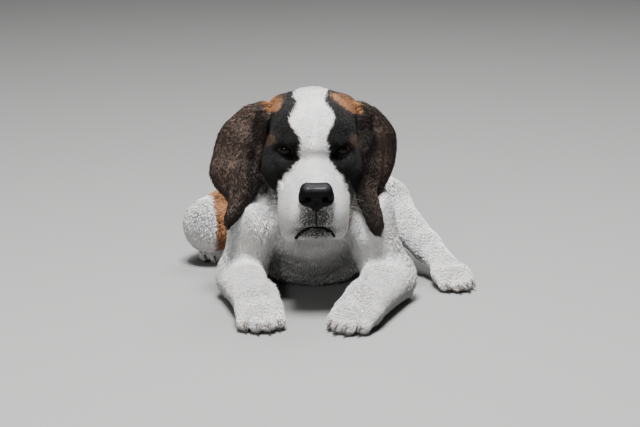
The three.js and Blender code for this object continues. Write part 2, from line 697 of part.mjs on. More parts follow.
const nodes = {};
const LEG_MARGIN = 8;
for (const [name, leg] of Object.entries(LEGS)) {
  const fore = name.startsWith("fore");
  const side = name.endsWith("Right") ? "right" : "left";
  const joints = fore ? [leg.shoulder, leg.elbow, leg.wrist] : [leg.hip, leg.knee, leg.hock, leg.heel];
  const radii = (fore ? ["shoulder", "elbow", "wrist"] : ["hip", "knee", "hock", "heel"])
    .map((joint) => (fore ? FORE_RADIUS : HIND_RADIUS)[joint] + LEG_MARGIN);
  const pawBubble = (by) =>
    solidOf(geometryOf(bubble([0, -18, 6], [32 + by, 46 + by, 33 + by])).applyMatrix4(leg.pawAt));
  const out = side === "right" ? -1 : 1;
  const ownSide = (by) => sideOf([PELVIS.x + out * (PELVIS.halfWide - by), 0, 0], [out, 0, 0]);
  const legRegion = (by) =>
    joints.slice(1).map((end, i) => capsule(joints[i], end, radii[i] + by, radii[i + 1] + by))
      .reduce((a, b) => a.add(b), pawBubble(by)).intersect(ownSide(by));
  const toeEnd = new THREE.Vector3(0, -50, 10).applyMatrix4(leg.pawAt).toArray();
  const fine = aboveFloor(solidOf(netted(wholeField, ...gridRound([...joints, toeEnd], 60, 15))));
  const whole = fine.intersect(legRegion(0)).subtract(headCut);
  torso = torso.subtract(legRegion(GAP));
  const pawMesh = netted(
    placed(wholeField, leg.pawAt.clone().invert()),
    ticks([-51, 51], [6.8]),
    ticks([-74, 26], [7]),
    ticks([-24, 66], [7]),
  );
  const pawWhole = aboveFloor(solidOf(pawMesh.applyMatrix4(leg.pawAt)));
  const wristAt = new THREE.Vector3().setFromMatrixPosition(leg.pawAt);
  const toward = new THREE.Vector3(0, -1, 0).transformDirection(leg.pawAt);
  const ahead = (by) => sideOf(wristAt.clone().addScaledVector(toward, by).toArray(), toward.toArray());
  const nails = solidOf(geometryOf(claws()).applyMatrix4(leg.pawAt));
  const paw = largest(pawWhole.intersect(pawBubble(0)).intersect(ahead(GAP)));
  const rest = largest(whole.subtract(pawBubble(GAP).intersect(ahead(0))));
  nodes[`${fore ? "front" : "hind"}_paw_${side}`] = paw.add(nails);
  const [top, bend, end] = joints;
  const [lower, upper] = parted(rest, bend, away(bend, end).sub(away(bend, top)).toArray());
  nodes[`${fore ? "forearm" : "shank"}_${side}`] = lower;
  nodes[`${fore ? "upper_arm" : "thigh"}_${side}`] = upper;
}

const tailRegion = (by) =>
  capsule(TAIL.path[0], TAIL.path[1], TAIL.radii[0] + 5 + by, TAIL.radii[1] + 5 + by)
    .add(bubble([0, 372, 20], [80, 84, 60]))
    .add(capsule(TAIL.path[1], TAIL.path[2], TAIL.radii[1] + 5 + by, TAIL.radii[2] + 5 + by));
const tailMesh = netted(
  wholeField,
  ticks([-56, 66], [14]),
  ticks([238, 448], [14]),
  ticks([-34, 132], [14]),
);
const tail = largest(aboveFloor(solidOf(tailMesh)).intersect(tailRegion(0)));
const [tailTip, tailBase] = parted(tail, TAIL.path[3], away(TAIL.path[2], TAIL.path[4]).toArray());
torso = largest(torso.subtract(tailRegion(GAP)));

const NECK_PLANE = { at: [0, 62, 185], facing: [0, -0.609, 0.792] };
const [neck, trunk] = parted(torso, NECK_PLANE.at, NECK_PLANE.facing);

// The details of the head, in its own frame.
const jawMesh = netted(jawField(), ticks([-32, 32], [8]), ticks([-72, 36], [12]), ticks([-92, -38], [6]));
const jaw = largest(solidOf(jawMesh).intersect(headRegion(0)));
head = head.subtract(swollen(jaw));
const noseMesh = netted(noseField(), ticks([-26, 26], [4]), ticks([-84, -48], [4.5]), ticks([-50, -8], [4]));
let nose = solidOf(noseMesh);
head = head.subtract(swollen(nose));
nose = largest(nose.subtract(nostril(1)).subtract(nostril(-1)));
head = head.subtract(bubble([0, -72, -51], [1.3, 6, 13])); // the groove from the nose to the lips
const onHead = { jaw, nose };
for (const side of [1, -1]) {
  head = head.add(lidRim(side)).subtract(lidOpening(side)).subtract(eyeBall(side, EYE.radius + GAP));
  onHead[`eye_${side > 0 ? "left" : "right"}`] = eyeBall(side, EYE.radius);
}
onHead.head = largest(head);
const skin = swollen(onHead.head);
for (const [side, stations] of Object.entries(EARS))
  onHead[`ear_${side}`] = earFlap(side === "left" ? 1 : -1, stations).subtract(skin);
for (const [name, solid] of Object.entries(onHead))
  nodes[name] = solidOf(geometryOf(solid).applyMatrix4(headMatrix));
Object.assign(nodes, { torso: trunk, neck, tail_base: tailBase, tail_tip: tailTip });

// The ear flaps lie on the neck and shoulders, and are trimmed where they would sink in.
for (const side of ["right", "left"]) {
  const under = ["neck", "torso", `upper_arm_${side}`]
    .flatMap((name) => [nodes[name], swollen(nodes[name])]);
  nodes[`ear_${side}`] = largest(under.reduce((ear, solid) => ear.subtract(solid), nodes[`ear_${side}`]));
}

const COLOUR_OF = {
  nose: "nose",
  eye_right: "eye",
  eye_left: "eye",
  ear_right: "dark",
  ear_left: "dark",
  torso: "tan",
  tail_base: "tan",
  thigh_right: "tan",
};
const object = new THREE.Group();
for (const [name, solid] of Object.entries(nodes)) {
  const look = COLOURS[COLOUR_OF[name] ?? "white"];
  const mesh = new THREE.Mesh(geometryOf(solid), new THREE.MeshStandardMaterial({ ...look, metalness: 0 }));
  mesh.name = name;
  object.add(mesh);
}
export default object;
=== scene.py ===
"""A Saint Bernard puppy lying on its chest: skin, coat, eyes, lids, nose, claws and whiskers."""

import math

import bmesh
import bpy
import numpy as np
from bpy.props import FloatProperty, FloatVectorProperty, IntProperty, PointerProperty
from mathutils import Matrix, Vector


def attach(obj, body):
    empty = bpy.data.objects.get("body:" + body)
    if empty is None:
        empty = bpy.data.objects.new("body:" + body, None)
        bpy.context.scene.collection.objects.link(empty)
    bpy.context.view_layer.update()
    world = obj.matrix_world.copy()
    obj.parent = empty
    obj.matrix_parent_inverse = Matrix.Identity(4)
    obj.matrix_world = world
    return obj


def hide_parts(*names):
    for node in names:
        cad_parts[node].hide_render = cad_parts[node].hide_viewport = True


bl_info = {
    "name": "Saint Bernard puppy",
    "version": (1, 0, 0),
    "blender": (4, 5, 0),
    "location": "View3D > Sidebar > Puppy",
    "description": "Builds a lying Saint Bernard puppy's skin, coat, face and floor round its solids",
    "category": "Object",
}

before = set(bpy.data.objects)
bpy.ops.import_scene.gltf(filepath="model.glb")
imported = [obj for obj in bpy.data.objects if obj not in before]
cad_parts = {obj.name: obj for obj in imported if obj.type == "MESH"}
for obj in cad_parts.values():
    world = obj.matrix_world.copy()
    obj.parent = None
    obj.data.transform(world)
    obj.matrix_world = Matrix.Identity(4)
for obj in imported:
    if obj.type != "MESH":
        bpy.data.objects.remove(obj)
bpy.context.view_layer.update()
MM = 0.001

# Sizes of the solids, in millimetres, from the same named values as the part's source.
HEAD_AT = (-2.8, -82, 174)
HEAD_PITCH = 8
HEAD_YAW = 2.4
EYE = {"y": 4, "z": 1.8, "radius": 9.5, "open_wide": 8.3, "open_high": 6.0, "open_low": 4.9}
EYE_X = {1: 30.3, -1: -31}  # by side: 1 is the left eye and -1 the right
BALL_SHARE = 0.97  # the eyeball against its socket
NOSE_TIP_Y = -76
LIP_Z = -65
RIBS = ((-5, 32, 86), (83, 116, 92))
BELLY = ((-14, 125, 70), (90, 92, 74))
RUMP = ((-16, 212, 72), (74, 78, 74))
BRISKET = ((-11, -46, 86), (58, 50, 46))
WITHERS = (-6, 48, 146)
HIP_TOP = (-14, 205, 112)
BACK_RADII = (34, 36)
NECK_TOP = (-5, 16, 156)
NECK_BASE = (-7, -4, 104)
NECK_RADII = (57, 61)
# Blade, shoulder, elbow, wrist and the way that the paw points, in degrees.
FORE_LEGS = {
    "right": ((-42, 30, 138), (-61, -50, 100), (-81, -42, 25), (-63, -140, 23), 9),
    "left": ((34, 30, 138), (48, -50, 98), (80, -49, 25), (50, -150, 23), -30),
}
FORE_RADII = (36, 32, 28, 23.5)
# Hip, knee, hock, heel and the way that the paw points, in degrees.
HIND_LEGS = {
    "right": ((-48, 206, 62), (-124, 104, 48), (-104, 204, 22), (-120, 140, 17), 8),
    "left": ((24, 208, 74), (80, 122, 68), (126, 54, 35), (146, 14, 22), 24),
}
HIND_RADII = (42, 34, 19, 16)
HIND_PAW_SCALE = 0.9
PAW_WIDE = 49
PAW_HIGH = 36
TOE_STEP = 12
TOE_RADIUS = 8.6
TOES = (-1.5, -0.5, 0.5, 1.5)
TAIL = ((-16, 276, 92), (-16, 306, 58), (-12, 336, 24), (-2, 372, 15), (16, 404, 12), (38, 430, 10))
TAIL_RADII = (24, 20, 17, 15, 12.5, 9)

# Widths in millimetres over which parts of the body flow into one another.
FLOW = {
    "trunk": 30,
    "limb": 22,
    "shoulder": 20,
    "elbow": 12,
    "knee": 10,
    "foot": 8,
    "tail": 10,
    "tail_root": 16,
}

# How far the skin lies inside the solids, in millimetres: at the face, and how much further at the
# body, at the breast and in the crease behind the head.
FACE_DEPTH = 1.2
BODY_DEPTH = 2.6
BREAST_DEPTH = 15
NECK_CREASE = 21

# Stations down each ear flap: its middle, the way across it, its width and its bulge.
EARS = {
    "right": (
        ((-35, 42, 34), (-0.2, 1, -0.2), 32, 1),
        ((-50, 40, 40), (-0.25, 1, -0.2), 38, 3),
        ((-62, 37, 34), (-0.6, 0.8, -0.2), 46, 4),
        ((-72, 32, 21), (-0.75, 0.66, -0.1), 50, 6),
        ((-81, 27, 7), (-0.8, 0.6, 0), 55, 8),
        ((-85.6, 22, -13), (-0.84, 0.54, 0), 58.5, 9),
        ((-88.4, 17, -26), (-0.85, 0.51, 0), 61, 9),
        ((-85.6, 12, -37), (-0.86, 0.5, 0), 58.5, 8.5),
        ((-82.8, 7.5, -46), (-0.86, 0.5, 0), 47, 7.5),
        ((-82.7, 3, -54), (-0.86, 0.5, 0), 33, 6.3),
        ((-85.5, -1.5, -62), (-0.86, 0.5, 0), 24.8, 5),
        ((-90, -6, -70), (-0.86, 0.5, 0), 19.5, 4),
        ((-93.4, -9, -77), (-0.86, 0.5, 0), 12.5, 2),
        ((-92.8, -10, -81), (-0.86, 0.5, 0), 7, 1),
    ),
    "left": (
        ((35, 42, 34), (0.2, 1, -0.2), 32, 1),
        ((48, 41, 39), (0.2, 1, -0.2), 38, 3),
        ((59, 38, 33), (0.4, 0.92, -0.2), 46, 4),
        ((68, 34, 19), (0.55, 0.83, -0.1), 54, 6),
        ((74, 30, 5), (0.6, 0.8, 0), 62, 8),
        ((73.6, 25, -14), (0.62, 0.78, 0), 67.5, 9),
        ((70.4, 19, -28), (0.62, 0.78, 0), 63.5, 9),
        ((66, 13, -39), (0.63, 0.77, 0), 52, 8.5),
        ((62.3, 6, -48), (0.65, 0.76, 0), 39, 7.7),
        ((62.7, -2, -57), (0.7, 0.71, 0), 32, 7),
        ((64.2, -9.6, -65), (0.78, 0.62, 0), 27, 5.4),
        ((66.2, -16, -73), (0.85, 0.51, 0), 24, 4),
        ((68.5, -20, -80), (0.88, 0.45, 0), 19.5, 2.5),
        ((70, -22, -86), (0.9, 0.4, 0), 8, 1),
    ),
}
EAR_ROWS = 96
EAR_COLUMNS = 34
EAR_TONES = {"right": 0.7, "left": 0.38}  # how far the hair is from black to the ears' brown

HEAD_MATRIX = (
    Matrix.Translation(HEAD_AT)
    @ Matrix.Rotation(math.radians(HEAD_YAW), 4, "Z")
    @ Matrix.Rotation(math.radians(HEAD_PITCH), 4, "X")
)


# Fields: each gives the distance in millimetres from points to a surface, below zero inside it.


def egg(at, radii, tilt=0.0):
    """An ellipsoid. tilt is its turn about Y in degrees."""
    c, s = math.cos(math.radians(tilt)), math.sin(math.radians(tilt))
    rx, ry, rz = radii

    def field(x, y, z):
        u, v, w = x - at[0], y - at[1], z - at[2]
        if tilt:
            u, w = c * u - s * w, s * u + c * w
        near = np.sqrt((u / rx) ** 2 + (v / ry) ** 2 + (w / rz) ** 2)
        slope = np.sqrt((u / rx**2) ** 2 + (v / ry**2) ** 2 + (w / rz**2) ** 2)
        return near * (near - 1) / np.maximum(slope, 1e-6)

    return field


def limb(a, b, ra, rb):
    """A tapered limb with round ends."""
    dx, dy, dz = b[0] - a[0], b[1] - a[1], b[2] - a[2]
    length2 = dx * dx + dy * dy + dz * dz

    def field(x, y, z):
        t = np.clip(((x - a[0]) * dx + (y - a[1]) * dy + (z - a[2]) * dz) / length2, 0, 1)
        off = (x - a[0] - t * dx) ** 2 + (y - a[1] - t * dy) ** 2 + (z - a[2] - t * dz) ** 2
        return np.sqrt(off) - ra - t * (rb - ra)

    return field


def block(at, half, edge):
    """A block with rounded edges."""

    def field(x, y, z):
        u = np.abs(x - at[0]) - half[0] + edge
        v = np.abs(y - at[1]) - half[1] + edge
        w = np.abs(z - at[2]) - half[2] + edge
        past = np.sqrt(np.maximum(u, 0) ** 2 + np.maximum(v, 0) ** 2 + np.maximum(w, 0) ** 2)
        return past + np.minimum(np.maximum(np.maximum(u, v), w), 0) - edge

    return field


def joined(soft, d, e):
    """The union of two distances, with the crease between them filled over a width of soft."""
    h = np.maximum(soft - np.abs(d - e), 0) / soft
    return np.minimum(d, e) - h * h * soft / 4


def blend(soft, *fields):
    def field(x, y, z):
        d = fields[0](x, y, z)
        for other in fields[1:]:
            d = joined(soft, d, other(x, y, z))
        return d

    return field


def mirrored(shape):
    return lambda x, y, z: shape(np.abs(x), y, z)


def placed(shape, matrix):
    """A field moved and turned by a matrix."""
    m = [list(row) for row in matrix.inverted()]

    def field(x, y, z):
        return shape(*[row[0] * x + row[1] * y + row[2] * z + row[3] for row in m[:3]])

    return field


def moved(points, matrix):
    """An array of points moved by a matrix."""
    m = np.array(matrix)
    return points @ m[:3, :3].T + m[:3, 3]


def unit(vectors):
    return vectors / np.maximum(np.linalg.norm(vectors, axis=-1, keepdims=True), 1e-9)


def smooth(low, high, values):
    """0 below low and 1 above high, with a soft step between."""
    t = np.clip((values - low) / (high - low), 0, 1)
    return t * t * (3 - 2 * t)


# Shapes of the animal, as in the part's source.


def skull_field():
    cranium = egg((0, 40, 10), (51, 58, 48))
    foreheads = egg((15, 13, 22), (26, 25, 27))
    occiput = egg((0, 84, 14), (26, 22, 24))
    ear_bases = egg((35, 40, 34), (16, 23, 16))
    cheeks = egg((35, 22, -20), (24, 34, 31))
    under_eyes = egg((29, 4, -15), (17, 16, 14))
    brows = egg((27, 3, 12), (14, 9.5, 6.5), 14)
    return blend(10, blend(14, cranium, occiput, foreheads, cheeks, ear_bases), under_eyes, brows)


def muzzle_field():
    muzzle = block((0, -38, -44), (23, 31, 20), 13)
    flews = egg((20, -42, -49), (16.5, 27, 26))
    flew_tips = egg((24, -42.5, -64.5), (11.5, 19, 19.5))
    return blend(5, muzzle, flews, flew_tips)


def head_field():
    bridge = limb((0, -4, -28), (0, -52, -31), 25, 21)
    lip_root = egg((26, -12, -46), (16, 24, 21))
    fuller_flew = egg((-23.5, -42, -49.5), (16.5, 27, 27))
    fuller_tip = egg((-26.5, -42.5, -65), (11.5, 19, 19.5))
    face = blend(14, skull_field(), bridge)
    return blend(5, mirrored(blend(8, face, muzzle_field(), lip_root)), blend(5, fuller_flew, fuller_tip))


def jaw_field():
    return blend(8, block((-1.5, -33, LIP_Z - 7), (22.5, 27, 8), 7), egg((0, 0, LIP_Z), (24, 26, 15)))


def nose_field():
    pad = block((0, NOSE_TIP_Y + 11, -22), (17.5, 11, 9.5), 8)
    wings = egg((10.5, NOSE_TIP_Y + 10, -28), (8.5, 9, 9))
    foot = egg((0, NOSE_TIP_Y + 9, -35), (8, 7, 7))
    return mirrored(blend(5, pad, wings, foot))


def toe_back(n):
    """How far an outer toe stands behind the middle ones."""
    return 9 if abs(n) > 1 else 0


def paw_field():
    heel = egg((0, -12, PAW_HIGH / 2 - 2), (PAW_WIDE / 2, 28, PAW_HIGH / 2))
    toes = []
    for n in TOES:
        knuckle = (n * TOE_STEP * 0.9, -24 + toe_back(n), 20)
        end = (n * TOE_STEP, -41 + toe_back(n), 10)
        toes.append(limb(knuckle, end, TOE_RADIUS + 1, TOE_RADIUS))
    return blend(5, heel, blend(1.2, *toes))


def paw_matrix(at, heading, scale=1.0):
    turn = Matrix.Rotation(math.radians(heading), 4, "Z")
    return Matrix.Translation((at[0], at[1], 0)) @ turn @ Matrix.Scale(scale, 4)


def way_between(a, b, drop=0.0):
    """The unit way from one point to another, with drop taken off its height."""
    return tuple((Vector(b) - Vector(a)).normalized() - Vector((0, 0, drop)))


def paw_region(at, heading, scale=1.0):
    turn = math.radians(heading)
    toward = tuple(Vector((math.sin(turn), -math.cos(turn), -0.25)))
    return "paw", placed(paw_field(), paw_matrix(at, heading, scale)), 5.5, toward


def body_regions():
    """The regions of the body: name, field, length of the coat and the way that its hair lies."""
    blade_r, shoulder_r, elbow_r, wrist_r = FORE_RADII
    hip_r, knee_r, hock_r, heel_r = HIND_RADII
    regions = [
        ("ribs", egg(*RIBS), 13, (0, 1, -0.45)),
        ("belly", egg(*BELLY), 12, (0, 1, -0.4)),
        ("rump", egg(*RUMP), 15, (0, 0.8, -0.7)),
        ("back", limb(WITHERS, HIP_TOP, *BACK_RADII), 13, (0, 1, -0.1)),
        ("brisket", egg(*BRISKET), 11, (0, 0.25, -1)),
        ("neck", limb(NECK_TOP, NECK_BASE, *NECK_RADII), 11, (0, 0.55, -0.8)),
    ]
    for blade, shoulder, elbow, wrist, heading in FORE_LEGS.values():
        regions += [
            ("blade", limb(blade, shoulder, blade_r, shoulder_r), 12, (0, 0.5, -0.9)),
            ("arm", limb(shoulder, elbow, shoulder_r, elbow_r - 3), 11, way_between(shoulder, elbow)),
            ("forearm", limb(elbow, wrist, elbow_r + 1, wrist_r), 8, way_between(elbow, wrist)),
            paw_region(wrist, heading),
        ]
    for hip, knee, hock, heel, heading in HIND_LEGS.values():
        regions += [
            ("thigh", limb(hip, knee, hip_r, knee_r), 9, way_between(hip, knee, 0.4)),
            ("shank", limb(knee, hock, knee_r - 5, hock_r), 8, way_between(knee, hock)),
            ("foot", limb(hock, heel, hock_r, heel_r), 7, way_between(hock, heel)),
            paw_region(heel, heading, HIND_PAW_SCALE),
        ]
    for a, b, ra, rb in zip(TAIL, TAIL[1:], TAIL_RADII, TAIL_RADII[1:]):
        regions.append(("tail", limb(a, b, ra, rb), 18, way_between(a, b)))
    return regions


REGIONS = body_regions()
NOSE_AT = (0, NOSE_TIP_Y + 4, -20)


def body_field(x, y, z):
    """The whole animal's surface, without the ear flaps."""
    part = {}
    for name, field, _, _ in REGIONS:
        part.setdefault(name, []).append(field(x, y, z))
    d = part["ribs"][0]
    for name in ("belly", "rump", "back", "brisket"):
        d = joined(FLOW["trunk"], d, part[name][0])
    d = joined(FLOW["limb"], d, part["neck"][0])
    for n in range(2):
        arm = joined(FLOW["shoulder"], part["blade"][n], part["arm"][n])
        leg = joined(FLOW["elbow"], arm, part["forearm"][n])
        d = joined(FLOW["limb"], d, joined(FLOW["foot"], leg, part["paw"][n]))
    for n in range(2):
        foot = joined(FLOW["foot"], part["foot"][n], part["paw"][n + 2])
        leg = joined(FLOW["knee"], part["thigh"][n], part["shank"][n])
        d = joined(FLOW["limb"], d, joined(FLOW["foot"], leg, foot))
    tail = part["tail"][0]
    for more in part["tail"][1:]:
        tail = joined(FLOW["tail"], tail, more)
    return joined(FLOW["tail_root"], d, tail)


def capsule_chain(points, radii):
    """A tube through points, sharp enough for a nostril or a crease."""
    pieces = [limb(a, b, ra, rb) for a, b, ra, rb in zip(points, points[1:], radii, radii[1:])]
    return blend(1.5, *pieces)


def eye_frame(side):
    """A frame at an eye: X across the opening, -Y forwards, turned so that the inner corner is lower."""
    at = Matrix.Translation((EYE_X[side], EYE["y"], EYE["z"]))
    return at @ Matrix.Rotation(math.radians(side * -19), 4, "Y")


def eye_opening(side):
    """The almond way through the skin in front of an eye."""
    wide, high = EYE["open_wide"] + 1.0, EYE["open_high"] + 0.6

    def field(x, y, z):
        almond = (np.sqrt((x / wide) ** 2 + (z / high) ** 2) - 1) * high
        return np.maximum(almond, y + 2)

    return placed(field, eye_frame(side))


HEAD_BLOCK = head_field()
JAW_BLOCK = jaw_field()
NOSE_BLOCK = nose_field()
PHILTRUM = capsule_chain([(0, -70.5, -38), (0, -71.5, -48), (0, -70.5, -62)], [1.4, 1.1, 1.6])
SOCKETS = [egg((EYE_X[s], EYE["y"], EYE["z"]), (EYE["radius"] + 0.4,) * 3) for s in (1, -1)]
OPENINGS = [eye_opening(s) for s in (1, -1)]
HOLLOWS = [placed(egg((0, -13.5, 0), (12, 6, 8.5)), eye_frame(s)) for s in (1, -1)]
EAR_ROOTS = [
    blend(
        8,
        limb((s * 34, 44, 26), (s * 53, 42, 26), 13, 8.5),
        limb((s * 53, 42, 26), (s * 65, 38, 0), 8.5, 7.5),
    )
    for s in (1, -1)
]


def ridge(amount, width, distance):
    """A soft ridge of this height where distance is near zero."""
    return amount * np.exp(-((distance / width) ** 2))


def face_details(x, y, z):
    """How far the skin of the face rises, in millimetres, in the head's frame."""
    ax = np.abs(x)
    front = smooth(24, 6, y)
    bag = ridge(1.0, 2.2, np.hypot((ax - 29) / 1.25, z + 1.5) - 11.5) * smooth(-1, -8, z) * front
    brow = ridge(1.8, 5, np.hypot(ax - 24, z - 16)) * front
    furrow = -ridge(1.5, 5, ax) * smooth(8, 22, z) * smooth(60, 40, z) * smooth(20, -6, y)
    stop = -ridge(0.8, 8, np.hypot(ax, z - 2)) * front
    fold = -ridge(1.3, 2.4, ax - 34 - 0.3 * (z + 28)) * smooth(-66, -52, z) * smooth(-16, -26, z)
    return bag + brow + furrow + stop + fold * smooth(12, 0, y) * smooth(-34, -22, y)


def face_surface(x, y, z):
    """The head's skin without its openings, 1 to 3 millimetres inside the solid."""
    d = HEAD_BLOCK(x, y, z) + 0.9 + smooth(0, 60, y) * 2.0 - face_details(x, y, z)
    for hollow in HOLLOWS:
        d = -joined(4, -d, hollow(x, y, z))
    return d


def head_surface(x, y, z):
    """The head's skin in its own frame, with the mouth's line, the philtrum and the ears' roots."""
    d = face_surface(x, y, z)
    d = np.minimum(d, np.maximum(JAW_BLOCK(x, y, z) + 0.6, 1.1 - d))
    d = np.maximum(d, -PHILTRUM(x, y, z))
    d = np.maximum(d, -0.9 - NOSE_BLOCK(x, y, z))
    for root in EAR_ROOTS:
        d = joined(7, d, root(x, y, z))
    return d


def coat_depth(x, y, z):
    """How far the skin lies inside the solids' surface: thin on the face and feet, deep at the breast."""
    behind = smooth(-60, 40, y)
    low = smooth(40, 15, z)
    breast = smooth(104, 60, z) * smooth(20, -25, y) * smooth(-124, -108, y) * smooth(60, 36, np.abs(x + 6))
    return FACE_DEPTH + BODY_DEPTH * behind - FACE_DEPTH * behind * low + BREAST_DEPTH * breast


def skin_field(x, y, z):
    """The whole skin in the row's frame."""
    m = [list(row) for row in HEAD_MATRIX.inverted()][:3]
    h = [row[0] * x + row[1] * y + row[2] * z + row[3] for row in m]
    behind = h[1] + 0.6 * (h[2] + 20)
    head = head_surface(*h)
    crease = NECK_CREASE * smooth(36, 3, head) * smooth(50, 10, behind)
    body = body_field(x, y, z) + coat_depth(x, y, z) + crease
    d = joined(2 + 14 * smooth(5, 45, behind), body, head)
    for hole in OPENINGS + SOCKETS:
        d = np.maximum(d, -hole(*h))
    return np.maximum(d, 0.3 - z)


# Meshes from fields.


def ticks(stops, steps):
    """Grid lines from the first stop to the last, each stretch with its own step."""
    lines = [np.array([stops[0]], float)]
    for a, b, step in zip(stops, stops[1:], steps):
        count = max(1, round((b - a) / step))
        lines.append(a + (b - a) * np.arange(1, count + 1) / count)
    return np.concatenate(lines)


def slope(field, p, h=0.25):
    """The field's gradient at an array of points."""
    g = np.empty_like(p)
    for axis in range(3):
        step = np.zeros(3)
        step[axis] = h
        g[:, axis] = (field(*(p + step).T) - field(*(p - step).T)) / (2 * h)
    return g


def netted(field, xs, ys, zs, settle=3):
    """A closed mesh of the surface where the field is zero: points and quads."""
    v = field(*[a.astype(np.float32) for a in (xs[:, None, None], ys[None, :, None], zs[None, None, :])])
    v = np.array(np.broadcast_to(v, (len(xs), len(ys), len(zs))), np.float32)
    for face in (v[0], v[-1], v[:, 0], v[:, -1], v[:, :, 0], v[:, :, -1]):
        np.maximum(face, 1, out=face)
    inside = v < 0
    n = (len(xs) - 1, len(ys) - 1, len(zs) - 1)
    corner = [(i & 1, (i >> 1) & 1, i >> 2) for i in range(8)]

    def at(a, c):
        return a[c[0] : c[0] + n[0], c[1] : c[1] + n[1], c[2] : c[2] + n[2]]

    total = sum(at(inside, c).astype(np.int8) for c in corner)
    cells = np.argwhere((total > 0) & (total < 8))
    values = np.stack([v[tuple((cells + c).T)] for c in corner], 1)
    place = np.zeros((len(cells), 3))
    count = np.zeros(len(cells))
    for a, ca in enumerate(corner):
        for axis in range(3):
            if ca[axis]:
                continue
            b = a | (1 << axis)
            crossed = (values[:, a] < 0) != (values[:, b] < 0)
            t = values[:, a] / np.where(crossed, values[:, a] - values[:, b], 1)
            spot = np.tile(np.array(ca, float), (len(cells), 1))
            spot[:, axis] = t
            place += np.where(crossed[:, None], spot, 0)
            count += crossed
    place /= count[:, None]
    lines = (xs, ys, zs)
    low = np.stack([lines[k][cells[:, k]] for k in range(3)], 1)
    size = np.stack([lines[k][cells[:, k] + 1] for k in range(3)], 1) - low
    p = low + size * place
    for _ in range(settle):
        g = slope(field, p)
        d = field(*p.T)
        p = p - (d / np.maximum((g**2).sum(1), 0.2))[:, None] * g
        p = np.clip(p, low + size * 0.02, low + size * 0.98)
    index = np.full(n, -1, np.int32)
    index[tuple(cells.T)] = np.arange(len(cells))
    quads = []
    for axis in range(3):
        one, two = [(1, 2), (2, 0), (0, 1)][axis]
        first = [slice(1, -1)] * 3
        first[axis] = slice(0, -1)
        second = list(first)
        second[axis] = slice(1, None)
        change = inside[tuple(first)] != inside[tuple(second)]
        c = np.argwhere(change)
        c[:, one] += 1
        c[:, two] += 1
        ring = []
        for s, t in ((-1, -1), (0, -1), (0, 0), (-1, 0)):
            q = c.copy()
            q[:, one] += s
            q[:, two] += t
            ring.append(index[tuple(q.T)])
        ring = np.stack(ring, 1)
        flip = ~inside[tuple(c.T)]
        ring[flip] = ring[flip][:, ::-1]
        quads.append(ring)
    return p, np.concatenate(quads)


def mesh_object(name, points, faces, smooth_shaded=True):
    """A mesh object from points in millimetres and a list or array of faces."""
    mesh = bpy.data.meshes.new(name)
    faces = np.asarray(faces)
    mesh.vertices.add(len(points))
    mesh.vertices.foreach_set("co", (np.asarray(points) * MM).astype(np.float32).ravel())
    sides = faces.shape[1]
    mesh.loops.add(faces.size)
    mesh.loops.foreach_set("vertex_index", faces.astype(np.int32).ravel())
    mesh.polygons.add(len(faces))
    mesh.polygons.foreach_set("loop_start", np.arange(0, faces.size, sides, dtype=np.int32))
    mesh.polygons.foreach_set("use_smooth", np.full(len(faces), smooth_shaded))
    mesh.update(calc_edges=True)
    mesh.validate()
    obj = bpy.data.objects.new(name, mesh)
    bpy.context.scene.collection.objects.link(obj)
    return obj


def keep_values(mesh, name, values):
    """Stores one number or vector for each point of a mesh."""
    values = np.asarray(values, np.float32)
    kind = "FLOAT" if values.ndim == 1 else "FLOAT_VECTOR"
    attribute = mesh.attributes.new(name, kind, "POINT")
    attribute.data.foreach_set("value" if values.ndim == 1 else "vector", values.ravel())


def curve_points(stations, count):
    """Points at even steps of a smooth curve through stations of any width."""
    s = np.asarray(stations, float)
    s = np.concatenate([[2 * s[0] - s[1]], s, [2 * s[-1] - s[-2]]])
    t = np.linspace(0, len(s) - 3, count)
    i = np.minimum(t.astype(int), len(s) - 4)
    f = (t - i)[:, None]
    a, b, c, d = (s[i + k] for k in range(4))
    return 0.5 * (2 * b + (c - a) * f + (2 * a - 5 * b + 4 * c - d) * f**2 + (3 * b - a - 3 * c + d) * f**3)


def ear_line(side, rows):
    """Even steps down an ear flap: share of the way, middle, ways down, across and out, width, bulge."""
    line = curve_points([(*at, *across, width, bulge) for at, across, width, bulge in EARS[side]], 400)
    passed = np.concatenate([[0], np.cumsum(np.linalg.norm(np.diff(line[:, :3], axis=0), axis=1))])
    t = np.linspace(0, 1, rows)
    line = np.stack([np.interp(t * passed[-1], passed, column) for column in line.T], 1)
    middle, over = line[:, :3], line[:, 3:6]
    down = unit(np.stack([np.polyval(np.polyder(np.polyfit(t, column, 4)), t) for column in middle.T], 1))
    over = unit(over - (over * down).sum(1)[:, None] * down)
    out = unit(np.cross(over, down)) * (-1 if side == "left" else 1)
    return t, middle, down, over, out, line[:, 6], line[:, 7]


